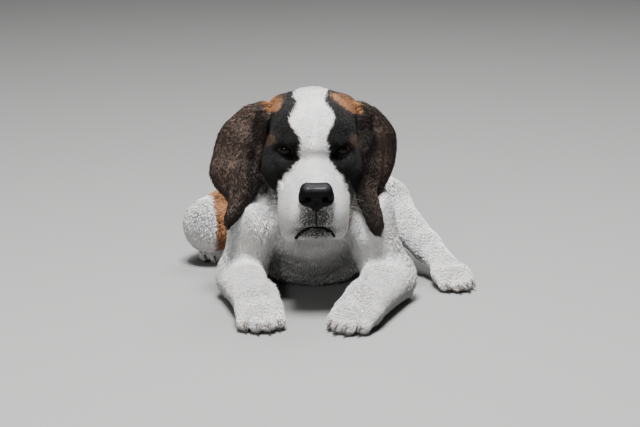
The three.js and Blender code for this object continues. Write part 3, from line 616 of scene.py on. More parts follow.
def ear_shell(side):
    """One ear flap in the row's frame: points, quads, lie of its hair, way down it and its paleness, which
    holds painted shade at the front fold and a painted highlight along the fold's crest.
    """
    sign = 1 if side == "left" else -1
    t, middle, down, over, out, width, bulge = ear_line(side, EAR_ROWS)
    crease_at = np.interp(t, (0.3, 0.55, 0.72, 0.86), (-0.1, 0.05, 0.35, 0.95))
    crease_deep = 3.6 * smooth(0.3, 0.6, t) * smooth(0.97, 0.82, t)
    curl = smooth(0.0, 0.12, t) * smooth(0.62, 0.3, t)
    half = (width - 5 * smooth(0.45, 0.8, t)) / 2
    tip = 1 - 0.5 * smooth(0.5, 0.85, t)
    rings, tones = [], []
    for face in (1, -1):
        for k in range(EAR_COLUMNS):
            u = face * (-math.cos(math.pi * k / EAR_COLUMNS))
            thick = 1.9 * math.sqrt(max(0, 1 - u**4)) + 0.25
            wave = 0.9 * np.sin(11 * t + 3.2 * u + sign) * smooth(0.15, 0.5, t) * abs(u)
            from_crease = u - crease_at
            valley = crease_deep * (ridge(1, 0.17, from_crease) - ridge(0.75, 0.22, from_crease + 0.34))
            turned_in = np.maximum(0, -u - 0.8) / 0.2 * curl
            rise = bulge * (0.5 - u * u) + wave - valley + ridge(2.4, 0.16, u + 0.74) * curl
            rise = rise - 9 * turned_in**1.5 + face * thick * (abs(u) != 1)
            across = (u + 0.1 * turned_in) * half
            rings.append(middle + over * across[:, None] + out * (rise - 1.5)[:, None])
            streak = 0.13 * np.sin(19 * u + 2 * np.sin(6 * t)) + 0.1 * np.sin(37 * u + 3 * np.sin(4 * t) + 1)
            # Painted highlight: the fold's crest is lightened. Painted shade: the front edge is darkened
            # where the fold shades the flap. The rear edge and the tip are also darker.
            crest_highlight = ridge(0.35, 0.22, u + 0.25 - 0.5 * t) * smooth(0.15, 0.4, t)
            edges = smooth(-0.35, -0.8, u) * smooth(0.02, 0.15, t)
            edges = edges + 0.5 * smooth(0.8, 1.0, u) + 0.45 * smooth(0.8, 1.0, t)
            tones.append((EAR_TONES[side] + crest_highlight + streak - 0.55 * edges) * tip * (1 if face > 0 else 0.55))
    around = len(rings)
    points = np.stack(rings, 1).reshape(-1, 3)
    quads = []
    for r in range(EAR_ROWS - 1):
        for k in range(around):
            a, b = r * around + k, r * around + (k + 1) % around
            quads.append((a, b, b + around, a + around))
    for r in (0, EAR_ROWS - 1):
        for k in range(EAR_COLUMNS):
            a, b = r * around + k, r * around + k + 1
            c, d = r * around + (around - k - 1) % around, r * around + (around - k) % around
            if len({a, b, c, d}) == 4:
                quads.append((a, d, c, b) if r == 0 else (a, b, c, d))
    quads = np.array(quads)[:, ::-sign]
    flow = down[:, None] + 0.16 * np.sin(14 * t + 2)[:, None, None] * over[:, None]
    flow = np.repeat(flow, around, axis=1).reshape(-1, 3)
    along = np.repeat(np.linspace(0.01, 1, EAR_ROWS), around)
    tone = np.clip(np.stack(tones, 1).ravel(), 0.1, 1)
    return moved(points, HEAD_MATRIX), quads, moved(flow, HEAD_MATRIX.to_3x3().to_4x4()), along, tone


# Markings, from distances: the dark and tan ones are above zero inside their patch.

# Way up the face, the blaze's edge on the dog's right and its edge on the left.
BLAZE = (
    (-33, -37.5, 33), (-26, -34, 29.5), (-19, -28.5, 25.5), (-12, -22, 20.5),
    (-6, -15.6, 14.6), (1, -14, 13), (14, -13.8, 12), (19, -15, 12.6),
    (25, -21.5, 15.2), (31, -25.6, 19.6), (37, -25.6, 20.4), (43, -22.2, 18),
    (50, -18.4, 13.2), (58, -18.2, 11.4), (72, -21, 14.6), (95, -19, 18),
    (118, -14, 13), (140, -8, 8), (180, -8, 8),
)

# Centre, radii and tilt of the temples and of the spots over the eyes, in the head's frame.
TAN_SPOTS = (
    ((-36.5, 34, 42), (17, 24, 10), 4),
    ((34, 28, 44.5), (20.5, 22, 8.5), 22),
    ((-45, 6, 11), (10.5, 16, 5.6), -40),
    ((41.5, 4, 11), (12, 16, 5.8), 44),
)
# Where the hind legs stay white: left thigh, left leg and right knee.
WHITE_HIND = (
    egg((80, 110, 64), (78, 92, 66)),
    limb((80, 122, 68), (128, 54, 35), 52, 60),
    egg((-152, 92, 42), (41, 60, 66)),
)


def markings(p, on_ear):
    """At points of the body: how deep they lie in the dark and tan patches, in millimetres, the share
    of dark hair over the tan, and how far they are from the middle of the speckled patch."""
    h = moved(p, HEAD_MATRIX.inverted())
    x, y, z = p.T
    hx, hy, hz = h.T
    on_right = hx < 0
    way_up = np.where(hz > 0, np.degrees(np.arctan2(hz, 45 - hy)), hz)
    keys = np.array(BLAZE, float).T
    right, left = np.interp(way_up, keys[0], keys[1]), np.interp(way_up, keys[0], keys[2])
    blaze = np.minimum(hx - right, left - hx)
    muzzle = np.where(on_right, -26 - hy, -33 - hy + 0.2 * (hz + 60))
    muzzle = np.minimum(muzzle, -24 - hz - 0.5 * np.maximum(0, -hx - 37))
    throat = -52 - hz + 0.35 * np.maximum(hy, 0) - 26 * (hx > 0) * smooth(28, 12, hy)
    white = np.maximum(np.maximum(blaze, muzzle), throat)
    on_head = np.minimum(86 - hy, hz + 100) - np.maximum(0, np.abs(hx) - 70)
    dark = np.minimum(-white, on_head * 0.6 + 10)
    dark = np.minimum(dark, 60 - hy)
    tan_spots = -np.minimum.reduce([egg(*spot)(hx, hy, hz) for spot in TAN_SPOTS])
    tan_nape = np.minimum(np.minimum(hy - 52, np.abs(hx) - 9), -white)
    # The mantle over the back, the rump and the flanks.
    start = 38 + 10 * np.sin(x / 21) + 0.25 * (z - 100)
    mantle = np.minimum(y - start, 296 - y)
    mantle = np.minimum(mantle, z - 22 - 0.35 * np.maximum(0, 60 - np.abs(x + 12)))
    mantle = np.minimum.reduce([mantle, *(field(x, y, z) for field in WHITE_HIND)])
    saddle = np.minimum(mantle - 4, 46 - np.abs(x + 10) + 9 * np.sin(y / 23))
    under_nose = np.hypot(np.hypot(hx / 1.05, hz + 49), (hy + 66) * 0.5)
    chin = np.hypot(np.hypot(hx / 1.5, (hz + 66) * 1.5), (hy + 58) * 0.5) + 2
    cheek_right = 0.82 * (hx - np.interp(hz, (-60, -52, -39, -25, -18), (-35, -40.5, -50, -60, -70)))
    cheek_left = 0.88 * (np.interp(hz, (-75, -62, -47, -27, -18), (39, 41.5, 45.5, 54, 64)) - hx)
    dark = np.minimum(dark, np.where(on_right, cheek_right, cheek_left) + np.maximum(0, hy - 30) * 0.3)
    dark = np.where(on_ear, 6 - 4 * smooth(16, 40, hz), dark)
    # The ears' roots are black like the dark ear hair. This black also stands in for the shade in the groove
    # behind each flap's front edge: partly painted shade.
    root = np.minimum(EAR_ROOTS[0](hx, hy, hz), EAR_ROOTS[1](hx, hy, hz))
    dark = np.maximum(dark, np.where(np.abs(hx) > 44, 5 - root, -99))
    tan = np.maximum(dark, np.minimum(tan_spots, -white))
    sooty = np.maximum(smooth(5.5, 0.5, tan_spots), smooth(28, 21, hz)) * (tan_spots > -9)
    return {
        "dark": np.minimum(dark, -tan_spots),
        "tan": np.maximum(np.maximum(tan, tan_nape), mantle),
        "saddle": np.where(hy > 60, smooth(-14, 26, saddle), 0.62 * sooty),
        "speckle": np.minimum(under_nose, chin),
    }


def lie_and_length(p, n):
    """The way that the hair lies on the skin, and its length in millimetres."""
    h = moved(p, HEAD_MATRIX.inverted())
    turn = np.array(HEAD_MATRIX)[:3, :3]
    x, y, z = p.T
    weight = np.zeros(len(p))
    lie = np.zeros_like(p)
    length = np.zeros(len(p))
    for _, field, hair, way in REGIONS:
        w = np.exp(-np.maximum(field(x, y, z) + 2, 0) / 5)
        weight += w
        lie += w[:, None] * np.array(way)
        length += w * hair
    from_nose = unit(h - np.array(NOSE_AT))
    from_nose[:, 2] -= 0.5 * smooth(-20, 20, h[:, 1]) + 0.5 * smooth(-30, -60, h[:, 2])
    head = np.exp(-np.maximum(HEAD_BLOCK(*h.T) + 2, 0) / 5) * 3
    weight += head
    lie += head[:, None] * (from_nose @ turn.T)
    from_front = smooth(-70, 70, h[:, 1])
    length += head * (2.6 + 6.5 * from_front)
    lie /= weight[:, None]
    length /= weight
    lie -= (lie * n).sum(1)[:, None] * n
    lie = unit(lie)
    falls = np.maximum(0.05, -lie[:, 2] - 0.25 * n[:, 2])
    return lie, np.minimum(length, np.maximum(1.2, (z - 0.3) / falls))


# Surfaces: groups of shader nodes that more than one material uses, and the materials.

MARKS = ("dark", "tan", "saddle", "speckle", "lip", "ear")
CREAM = (0.74, 0.69, 0.6)
PALE_TAN = (0.27, 0.13, 0.058)
SABLE = (0.014, 0.009, 0.007)


def linked(tree, node, sockets):
    """Sets a node's sockets from values or from other nodes' outputs."""
    for key, value in sockets.items():
        socket = node.inputs[key]
        if isinstance(value, bpy.types.NodeSocket):
            tree.links.new(value, socket)
        else:
            socket.default_value = value
    return node


def add_node(tree, kind, sockets=None, **settings):
    """A new node with its settings, and its sockets set or linked."""
    node = tree.nodes.new(kind)
    for key, value in settings.items():
        setattr(node, key, value)
    return linked(tree, node, sockets or {})


def calc(tree, operation, *values):
    return add_node(tree, "ShaderNodeMath", dict(enumerate(values)), operation=operation).outputs[0]


def mixed(tree, factor, a, b):
    return add_node(tree, "ShaderNodeMix", {0: factor, 6: a, 7: b}, data_type="RGBA").outputs[2]


def ranged(tree, value, low, high, to_low=0.0, to_high=1.0):
    ends = dict(enumerate((value, low, high, to_low, to_high)))
    return add_node(tree, "ShaderNodeMapRange", ends, interpolation_type="SMOOTHSTEP").outputs[0]


def noise(tree, place, scale, detail):
    sockets = {"Vector": place, "Scale": scale, "Detail": detail, "Roughness": 0.55}
    return add_node(tree, "ShaderNodeTexNoise", sockets).outputs[0]


def group_tree(name, kind, inputs, outputs):
    """A node group, its inputs and its output node, from rows of label, kind of socket and default."""
    tree = bpy.data.node_groups.new(name, kind)
    for label, socket_kind, default in inputs:
        socket = tree.interface.new_socket(name=label, in_out="INPUT", socket_type="NodeSocket" + socket_kind)
        if default is not None:
            socket.default_value = default
    for label, socket_kind in outputs:
        tree.interface.new_socket(name=label, in_out="OUTPUT", socket_type="NodeSocket" + socket_kind)
    return tree, tree.nodes.new("NodeGroupInput").outputs, tree.nodes.new("NodeGroupOutput")


def rgba(colour):
    return (*colour, 1.0)


def scaled(colour, times):
    return tuple(times * c for c in colour)


def markings_group():
    """Colour of the coat from the signed widths of its patches, with hairs' own changes of shade."""
    floats = {"Dark": -1.0, "Tan": -1.0, "Ear": 0.0, "Saddle": 0.0, "Speckle": 99.0, "Lip": 0.0, "Shade": 0.5}
    tree, g, made = group_tree(
        "Coat markings",
        "ShaderNodeTree",
        [
            ("Place", "Vector", (0.0, 0.0, 0.0)),
            *[(label, "Float", default) for label, default in floats.items()],
            *[(f"{tint} colour", "Color", (0.5, 0.5, 0.5, 1)) for tint in ("White", "Tan", "Dark", "Ear")],
        ],
        [("Colour", "Color"), ("Pale", "Float")],
    )

    def fma(a, b, c):
        return calc(tree, "MULTIPLY_ADD", a, b, c)

    broad = noise(tree, g["Place"], 60, 3)
    fine = noise(tree, g["Place"], 420, 2)
    grain = noise(tree, g["Place"], 1100, 1)
    shade = calc(tree, "SUBTRACT", g["Shade"], 0.5)
    off_fine = calc(tree, "SUBTRACT", fine, 0.5)
    wander = fma(calc(tree, "SUBTRACT", broad, 0.5), 5.0, calc(tree, "MULTIPLY", off_fine, 5.0))
    wander = fma(shade, 3.0, wander)
    dark = ranged(tree, calc(tree, "ADD", g["Dark"], wander), -1.1, 1.1)
    tan = ranged(tree, calc(tree, "ADD", g["Tan"], wander), -1.1, 1.1)
    near = ranged(tree, g["Speckle"], 4.0, 31.0, 1.0, 0.0)
    chance = calc(tree, "MULTIPLY", near, fma(grain, 2.4, fma(fine, 1.2, -0.95)))
    spots = ranged(tree, fma(g["Shade"], -0.3, chance), -0.05, 0.6, 0.0, 0.93)
    lip = ranged(tree, fma(off_fine, 0.5, g["Lip"]), 0.35, 0.6)
    light = fma(shade, fma(g["Ear"], 0.12, 0.22), 1.0)
    tone = fma(broad, 0.4, calc(tree, "MULTIPLY", light, 0.8))
    white = mixed(tree, ranged(tree, broad, 0.35, 0.7, 0.0, 0.35), g["White colour"], rgba(CREAM))
    tanned = mixed(tree, ranged(tree, broad, 0.3, 0.75), g["Tan colour"], rgba(PALE_TAN))
    # The Ear value, which carries the flaps' painted fold shade and painted crest highlight, mixes the black
    # towards the ears' brown.
    blacks = mixed(tree, g["Ear"], g["Dark colour"], g["Ear colour"])
    sable = fma(g["Shade"], 0.7, fma(broad, 0.6, -0.35))
    sable = ranged(tree, calc(tree, "SUBTRACT", g["Saddle"], sable), -0.12, 0.12, 0.0, 0.9)
    colour = mixed(tree, tan, white, mixed(tree, sable, tanned, rgba(SABLE)))
    covered = calc(tree, "MAXIMUM", dark, calc(tree, "MAXIMUM", spots, lip))
    colour = vector_calc(tree, "SCALE", mixed(tree, covered, colour, blacks), tone)
    pale = calc(tree, "SUBTRACT", 1.0, calc(tree, "MAXIMUM", dark, tan))
    linked(tree, made, {"Colour": colour, "Pale": pale})


def grain_group():
    """A bump of fine grain, coarse and fine, for skin, leather and horn."""
    tree, g, made = group_tree(
        "Fine grain",
        "ShaderNodeTree",
        [("Place", "Vector", (0.0, 0.0, 0.0)), ("Coarse", "Float", 300.0), ("Fine", "Float", 1200.0)],
        [("Height", "Float")],
    )
    coarse, fine = (noise(tree, g["Place"], g[label], 2) for label in ("Coarse", "Fine"))
    linked(tree, made, {"Height": calc(tree, "MULTIPLY_ADD", fine, 0.4, coarse)})


def shader(name, **sockets):
    """A new material with its Principled shader's own sockets set."""
    material = bpy.data.materials.new(name)
    material.use_nodes = True
    tree = material.node_tree
    principled = tree.nodes["Principled BSDF"]
    linked(tree, principled, {key.replace("_", " "): value for key, value in sockets.items()})
    return material, tree, principled


def object_place(tree):
    return tree.nodes.new("ShaderNodeTexCoord").outputs["Object"]


def attribute(tree, name, output="Fac"):
    return add_node(tree, "ShaderNodeAttribute", attribute_name=name).outputs[output]


def bumped(tree, principled, height, strength, distance):
    node = add_node(tree, "ShaderNodeBump", {"Height": height, "Strength": strength, "Distance": distance})
    linked(tree, principled, {"Normal": node.outputs[0]})


def placed_group(tree, name, **sockets):
    """A group's node in a material, with its sockets set."""
    node = add_node(tree, "ShaderNodeGroup", node_tree=bpy.data.node_groups[name])
    return linked(tree, node, {key.replace("_", " "): value for key, value in sockets.items()})


def coat_material(name, coat, on_tufts):
    """The colour of skin or tufts, from the attributes that the skin carries."""
    material, tree, principled = shader(name, Sheen_Weight=0.04, Sheen_Roughness=0.4, Specular_IOR_Level=0.1)
    place = attribute(tree, "root", "Vector") if on_tufts else object_place(tree)
    marks = {mark.title(): attribute(tree, mark) for mark in MARKS}
    tints = {f"{tint.title()}_colour": rgba(getattr(coat, tint)) for tint in ("white", "tan", "dark", "ear")}
    colours = placed_group(tree, "Coat markings", Place=place, **marks, **tints)
    if on_tufts:
        linked(tree, colours, {"Shade": attribute(tree, "shade")})
    rough = ranged(tree, colours.outputs["Pale"], 0.0, 1.0, 0.56, 0.74)
    linked(tree, principled, {"Base Color": colours.outputs[0], "Roughness": rough})
    height = placed_group(tree, "Fine grain", Place=object_place(tree), Coarse=260.0, Fine=900.0).outputs[0]
    bumped(tree, principled, height, 0.2 if on_tufts else 1.0, 0.0008)
    return material


# The coat: one tuft, repeated over the skin by Geometry Nodes.


def tuft_object():
    """A thin closed tuft: root, a three-sided waist and a tip. Z runs along it and Y away from the skin."""
    waist, rise = 0.42, 0.5
    points = [(0, -0.4, -0.04), (-0.5, rise, waist), (0.5, rise, waist), (0, rise + 0.3, waist), (0, 0.15, 1)]
    faces = [(0, 2, 1), (0, 3, 2), (0, 1, 3), (4, 1, 2), (4, 2, 3), (4, 3, 1)]
    obj = mesh_object("tuft", np.array(points) / MM, faces)
    patch = obj.data.uv_layers.new(name="patch")
    for loop in obj.data.loops:
        x, _, z = points[loop.vertex_index]
        patch.data[loop.index].uv = (x + 0.5, z)
    return obj




def named(tree, name, data_type="FLOAT"):
    node = add_node(tree, "GeometryNodeInputNamedAttribute", {"Name": name}, data_type=data_type)
    return node.outputs["Attribute"]


def stored(tree, geometry, name, data_type, domain, value):
    sockets = {"Name": name, "Geometry": geometry, "Value": value}
    kind = "GeometryNodeStoreNamedAttribute"
    return add_node(tree, kind, sockets, data_type=data_type, domain=domain).outputs["Geometry"]


def random_value(tree, kind, low, high, seed, shift):
    """A random value for each tuft, from the coat's seed with its own shift."""
    node = add_node(tree, "FunctionNodeRandomValue", data_type=kind)
    for name, value in (("Min", low), ("Max", high), ("Seed", calc(tree, "ADD", seed, float(shift)))):
        key = next(i for i, socket in enumerate(node.inputs) if socket.enabled and socket.name == name)
        linked(tree, node, {key: value})
    return next(socket for socket in node.outputs if socket.enabled)


def vector_calc(tree, operation, first, second):
    key = "Scale" if operation == "SCALE" else 1
    return add_node(tree, "ShaderNodeVectorMath", {0: first, key: second}, operation=operation).outputs[0]


def turned_to(tree, vector, axis, pivot="AUTO", **rotation):
    kind = "FunctionNodeAlignRotationToVector"
    return add_node(tree, kind, {"Vector": vector, **rotation}, axis=axis, pivot_axis=pivot).outputs[0]


def coat_tree():
    """Geometry Nodes that stand tufts on a stretch of skin, along the lie of the hair."""
    floats = {"Spacing": 0.001, "Length": 1.0, "Lift": 0.2, "Tangle": 0.15, "Patch": 0.003}
    tree, given, made = group_tree(
        "Coat of tufts",
        "GeometryNodeTree",
        [
            ("Geometry", "Geometry", None),
            ("Tuft", "Object", None),
            *[(label, "Float", default) for label, default in floats.items()],
            ("Seed", "Int", 1),
            ("Coat", "Material", None),
        ],
        [("Geometry", "Geometry")],
    )
    spacing, seed = given["Spacing"], given["Seed"]
    most = calc(tree, "DIVIDE", 3.0, calc(tree, "MULTIPLY", spacing, spacing))
    spread = add_node(tree, "GeometryNodeDistributePointsOnFaces", distribute_method="POISSON")
    linked(tree, spread, {"Mesh": given["Geometry"], "Distance Min": spacing, "Density Max": most})
    linked(tree, spread, {"Density Factor": named(tree, "thick"), "Seed": seed})
    normal = spread.outputs["Normal"]
    jitter = random_value(tree, "FLOAT_VECTOR", (-1, -1, -1), (1, 1, 1), seed, 11)
    jitter = vector_calc(tree, "SCALE", jitter, given["Tangle"])
    lie = vector_calc(tree, "ADD", named(tree, "lie", "FLOAT_VECTOR"), jitter)
    rise = calc(tree, "MULTIPLY", given["Lift"], random_value(tree, "FLOAT", 0.35, 1.5, seed, 12))
    way = vector_calc(tree, "ADD", lie, vector_calc(tree, "SCALE", normal, rise))
    turn = turned_to(tree, normal, "Y", "Z", Rotation=turned_to(tree, way, "Z"))
    vary = random_value(tree, "FLOAT", 0.65, 1.2, seed, 13)
    long = calc(tree, "MULTIPLY", calc(tree, "MULTIPLY", named(tree, "hair"), given["Length"]), vary)
    wide = calc(tree, "MULTIPLY", named(tree, "wide"), random_value(tree, "FLOAT", 0.7, 1.25, seed, 14))
    size = add_node(tree, "ShaderNodeCombineXYZ", {0: wide, 1: wide, 2: long}).outputs[0]
    shade = random_value(tree, "FLOAT", 0.0, 1.0, seed, 15)
    points = stored(tree, spread.outputs["Points"], "shade", "FLOAT", "POINT", shade)
    root = add_node(tree, "GeometryNodeInputPosition").outputs[0]
    points = stored(tree, points, "root", "FLOAT_VECTOR", "POINT", root)
    tuft = add_node(tree, "GeometryNodeObjectInfo", {"Object": given["Tuft"]}).outputs["Geometry"]
    sockets = {"Points": points, "Instance": tuft, "Rotation": turn, "Scale": size}
    stand = add_node(tree, "GeometryNodeInstanceOnPoints", sockets)
    real = add_node(tree, "GeometryNodeRealizeInstances", {"Geometry": stand.outputs[0]})
    off = vector_calc(tree, "SUBTRACT", named(tree, "patch", "FLOAT_VECTOR"), (0.5, 0.5, 0.0))
    off = vector_calc(tree, "SCALE", off, given["Patch"])
    spot = vector_calc(tree, "ADD", named(tree, "unwrap", "FLOAT_VECTOR"), off)
    laid = stored(tree, real.outputs[0], "OFBake", "FLOAT2", "CORNER", spot)
    finish = add_node(tree, "GeometryNodeSetMaterial", {"Geometry": laid, "Material": given["Coat"]})
    linked(tree, made, {"Geometry": finish.outputs[0]})
    return tree


def modifier_values(modifier, values):
    """Sets a Geometry Nodes modifier's inputs by their sockets' identifiers."""
    for item in modifier.node_group.interface.items_tree:
        if item.in_out == "INPUT" and item.name in values:
            modifier[item.identifier] = values[item.name]


def applied(obj):
    """Turns an object's modifiers into its plain mesh."""
    bpy.context.view_layer.update()
    graph = bpy.context.evaluated_depsgraph_get()
    final = obj.evaluated_get(graph)
    mesh = bpy.data.meshes.new_from_object(final, preserve_all_data_layers=True, depsgraph=graph)
    obj.modifiers.clear()
    old = obj.data
    obj.data = mesh
    bpy.data.meshes.remove(old)
    mesh.name = obj.name


def unwrapped(obj):
    """An unwrap of a stretch of skin by its own shape, in a map named unwrap."""
    obj.data.uv_layers.new(name="unwrap")
    bpy.context.view_layer.objects.active = obj
    obj.select_set(True)
    bpy.ops.object.mode_set(mode="EDIT")
    bpy.ops.mesh.select_all(action="SELECT")
    bpy.ops.uv.smart_project(angle_limit=math.radians(70), island_margin=0.004)
    bpy.ops.object.mode_set(mode="OBJECT")
    obj.select_set(False)


# Share of a stretch's area that its tufts' spacing leaves each of them.
TUFT_PACKING = 0.56
# How far back the face reaches, in the head's frame.
FACE_BACK = 14
# Stretches of the coat: name, most tufts, tuft width in millimetres, lift and tangle.
STRETCHES = {
    "face_right": (27500, 0.56, 0.12, 0.1),
    "face_left": (27500, 0.56, 0.12, 0.1),
    "skull": (26000, 0.78, 0.12, 0.1),
    "ear_right": (21500, 0.95, 0.1, 0.1),
    "ear_left": (21500, 0.95, 0.1, 0.1),
    "chest": (26000, 0.95, 0.14, 0.12),
    "foreleg_right": (18500, 1.0, 0.12, 0.1),
    "foreleg_left": (18500, 1.0, 0.12, 0.1),
    "flank_right": (19500, 1.35, 0.14, 0.12),
    "flank_left": (19000, 1.35, 0.14, 0.12),
    "hindleg_right": (13000, 1.2, 0.07, 0.05),
    "hindleg_left": (15500, 1.1, 0.07, 0.05),
    "tail": (8000, 1.3, 0.3, 0.2),
}
OWNERS = {
    **dict.fromkeys(("ribs", "belly", "rump", "back"), "flank"),
    **dict.fromkeys(("brisket", "neck"), "chest"),
    **dict.fromkeys(("blade", "arm", "forearm"), "foreleg"),
    **dict.fromkeys(("thigh", "shank", "foot"), "hindleg"),
    "tail": "tail",
}


def stretch_of(centres, on_ear):
    """The stretch of coat that each face of the skin belongs to."""
    x, y, z = centres.T
    h = moved(centres, HEAD_MATRIX.inverted())
    distances = np.stack([field(x, y, z) for _, field, _, _ in REGIONS])
    owners = []
    for name, *_ in REGIONS:
        # A paw follows the leg that it is the end of.
        owners.append(OWNERS.get(name) or owners[-1])
    labels = np.array(owners, dtype=object)[distances.argmin(0)]
    split = np.isin(labels, ("flank", "foreleg", "hindleg"))
    side = np.where(x < -8, "_right", "_left")
    labels[split] = labels[split] + side[split]
    head = HEAD_BLOCK(*h.T) < distances.min(0)
    labels[head & (h[:, 1] >= FACE_BACK)] = "skull"
    for side, beside in (("right", h[:, 0] < 0), ("left", h[:, 0] >= 0)):
        labels[head & (h[:, 1] < FACE_BACK) & beside] = f"face_{side}"
        labels[on_ear & beside] = f"ear_{side}"
    return labels


def face_crosses(p, quads):
    """The cross product of each quad's diagonals: its normal, twice its area long."""
    return np.cross(p[quads[:, 2]] - p[quads[:, 0]], p[quads[:, 3]] - p[quads[:, 1]])


# Small pieces of the head and feet.


def ringed_faces(rings, around):
    """Triangles of a closed form: a point, rings of points and a last point."""
    last = rings * around + 1
    faces = []
    for k in range(around):
        n = (k + 1) % around
        faces += [(0, 1 + n, 1 + k), (last, last - around + k, last - around + n)]
        for r in range(rings - 1):
            a, b = 1 + r * around + k, 1 + r * around + n
            faces += [(a, b, a + around), (b, b + around, a + around)]
    return np.array(faces)


def revolved_ball(centre, radius, axis, rings, around, shape):
    """A closed ball: shape gives the radius for each angle from the axis."""
    side = unit(np.cross(axis, (0.0, 0.1, 1.0)))
    up = np.cross(side, axis)
    points = [centre + axis * shape(0.0) * radius]
    for r in range(1, rings):
        angle = math.pi * (r / rings) ** 1.15
        for k in range(around):
            turn = 2 * math.pi * k / around
            way = math.cos(angle) * axis + math.sin(angle) * (math.cos(turn) * side + math.sin(turn) * up)
            points.append(centre + way * shape(math.degrees(angle)) * radius)
    points.append(centre - axis * shape(180.0) * radius)
    return np.array(points), ringed_faces(rings - 1, around)


def tube(line, radii, sides):
    """A closed tapering tube along a line."""
    line, radii = np.asarray(line, float), np.asarray(radii, float)
    down = unit(np.gradient(line, axis=0))
    side = unit(np.cross(down, (0.31, 0.17, 0.93)))
    up = np.cross(down, side)
    turn = (2 * np.pi * np.arange(sides) / sides)[:, None]
    way = np.cos(turn) * side[:, None] + np.sin(turn) * up[:, None]
    rings = line[:, None] + radii[:, None, None] * way
    return np.concatenate([line[:1], rings.reshape(-1, 3), line[-1:]]), ringed_faces(len(line), sides)


def closed_object(name, parts):
    """One mesh object from closed parts' points and faces, with its faces turned outwards."""
    points, faces = [], []
    for p, f in parts:
        faces.append(f + sum(len(q) for q in points))
        points.append(p)
    obj = mesh_object(name, np.concatenate(points), np.concatenate(faces))
    shape = bmesh.new()
    shape.from_mesh(obj.data)
    bmesh.ops.recalc_face_normals(shape, faces=shape.faces)
    shape.to_mesh(obj.data)
    shape.free()
    return obj


def on_face(p, rise):
    """Points moved to the face's skin, standing rise millimetres above it."""
    for _ in range(4):
        g = slope(face_surface, p)
        p = p - ((face_surface(*p.T) - rise) / np.maximum((g**2).sum(1), 0.3))[:, None] * g
    return p


# Rings of the lids from the rim outwards: spread from the opening, height over the eyeball and
# share on the skin. The rings behind close the lids: spread and height.
LID_FRONT = (
    (0.88, 0.1, 0.0), (0.94, 0.45, 0.0), (1.0, 0.95, 0.0), (1.08, 1.35, 0.0),
    (1.18, 1.45, 0.0), (1.32, 1.3, 0.0), (1.44, 1.05, 0.1), (1.56, 1.25, 0.3),
    (1.68, 1.2, 0.6), (1.8, 0.9, 0.85), (1.92, 0.3, 1.0),
)
LID_BEHIND = ((1.8, -3.0), (1.4, -1.6), (0.95, -0.9))


def lid_rings(side):
    """The rims and folds of one eye's lids: points, quads and nearness to the rim."""
    count = 72
    angle = 2 * np.pi * np.arange(count) / count
    cos, sin = np.cos(angle), np.sin(angle)
    high = np.where(sin > 0, EYE["open_high"], EYE["open_low"])
    u0 = EYE["open_wide"] * cos * (1 + 0.12 * smooth(0.75, 1.0, -side * cos))
    w0 = high * np.sign(sin) * np.abs(sin) ** 1.25
    upper, lower = smooth(0.1, 0.7, sin), smooth(0.1, 0.7, -sin)
    matrix = eye_frame(side)

    def on_ball(u, w, rise):
        ball = EYE["radius"] + rise
        y = -np.sqrt(np.maximum(ball**2 - u**2 - w**2, 4.0))
        return moved(np.stack([u, y, w], 1), matrix)

    rings = []
    for index, (spread, rise, on_skin) in enumerate(LID_FRONT):
        rise = rise + 0.55 * upper * (spread > 1.05)
        rise = rise - 0.55 * (index == 6) * upper - 0.3 * (index == 5) * lower
        p = on_ball(u0 * spread, w0 * spread**1.05, rise)
        if on_skin:
            p += (on_face(p, -0.2 - 0.8 * (on_skin == 1)) - p) * on_skin
        rings.append(p)
    rings += [on_ball(u0 * spread, w0 * spread, rise) for spread, rise in LID_BEHIND]
    k = np.arange(count)
    n = (k + 1) % count
    faces = []
    for r in range(len(rings)):
        a, b = r * count, (r + 1) % len(rings) * count
        faces.append(np.stack([a + k, a + n, b + n, b + k], 1))
    spreads = np.array([row[0] for row in LID_FRONT] + [LID_FRONT[-1][0]] * len(LID_BEHIND))
    rim = np.repeat(smooth(1.35, 1.0, spreads), count)
    return moved(np.concatenate(rings), HEAD_MATRIX), np.concatenate(faces), rim


def nose_surface(x, y, z):
    """The nose with its nostrils, in the head's frame."""
    ax = np.abs(x)
    d = NOSE_BLOCK(x, y, z) + 0.2
    d = d + ridge(0.9, 1.5, ax) * smooth(-16, -24, z) * smooth(-66, -72, y)
    d = d - 0.5 * np.exp(-(((ax - 9) / 5) ** 2) - ((z + 15) / 4) ** 2)
    hole = capsule_chain(
        [(6.4, -78.5, -27.2), (9.4, -78, -26.6), (13.8, -75.5, -27.6), (18.5, -69.5, -30)],
        [3.0, 3.5, 2.9, 1.5],
    )
    sill = capsule_chain([(5, -72.6, -31.2), (9.5, -72.2, -31.4), (13.6, -70.2, -31.6)], [1.1, 1.2, 0.9])
    deep = limb((9.2, -78, -27.2), (8.2, -64, -25), 3.2, 2.6)
    d = joined(1.5, d, sill(ax, y, z))
    return -joined(1.2, -d, np.minimum(hole(ax, y, z), deep(ax, y, z)))


# Root, bend and tip of a claw, from the end of its toe.
CLAW_BEND = ((0, -3, 11), (0, -11.5, 12.5), (0, -13.5, 5.5))
CLAW_RADIUS = 2.2
WHISKER_RADIUS = 0.11


def claw_lines():
    """The line of each claw in the row's frame, with its radii."""
    feet = [(paw_matrix(leg[3], leg[4]), 1.0) for leg in FORE_LEGS.values()]
    feet += [(paw_matrix(leg[3], leg[4], HIND_PAW_SCALE), HIND_PAW_SCALE) for leg in HIND_LEGS.values()]
    t = np.linspace(0, 1, 9)
    for matrix, scale in feet:
        for n in TOES:
            a, b, c = (np.array((n * TOE_STEP, -41 + toe_back(n) + y, z), float) for _, y, z in CLAW_BEND)
            line = ((1 - t) ** 2)[:, None] * a + (2 * t * (1 - t))[:, None] * b + (t**2)[:, None] * c
            yield moved(line, matrix), CLAW_RADIUS * scale * (1 - 0.72 * t**2)


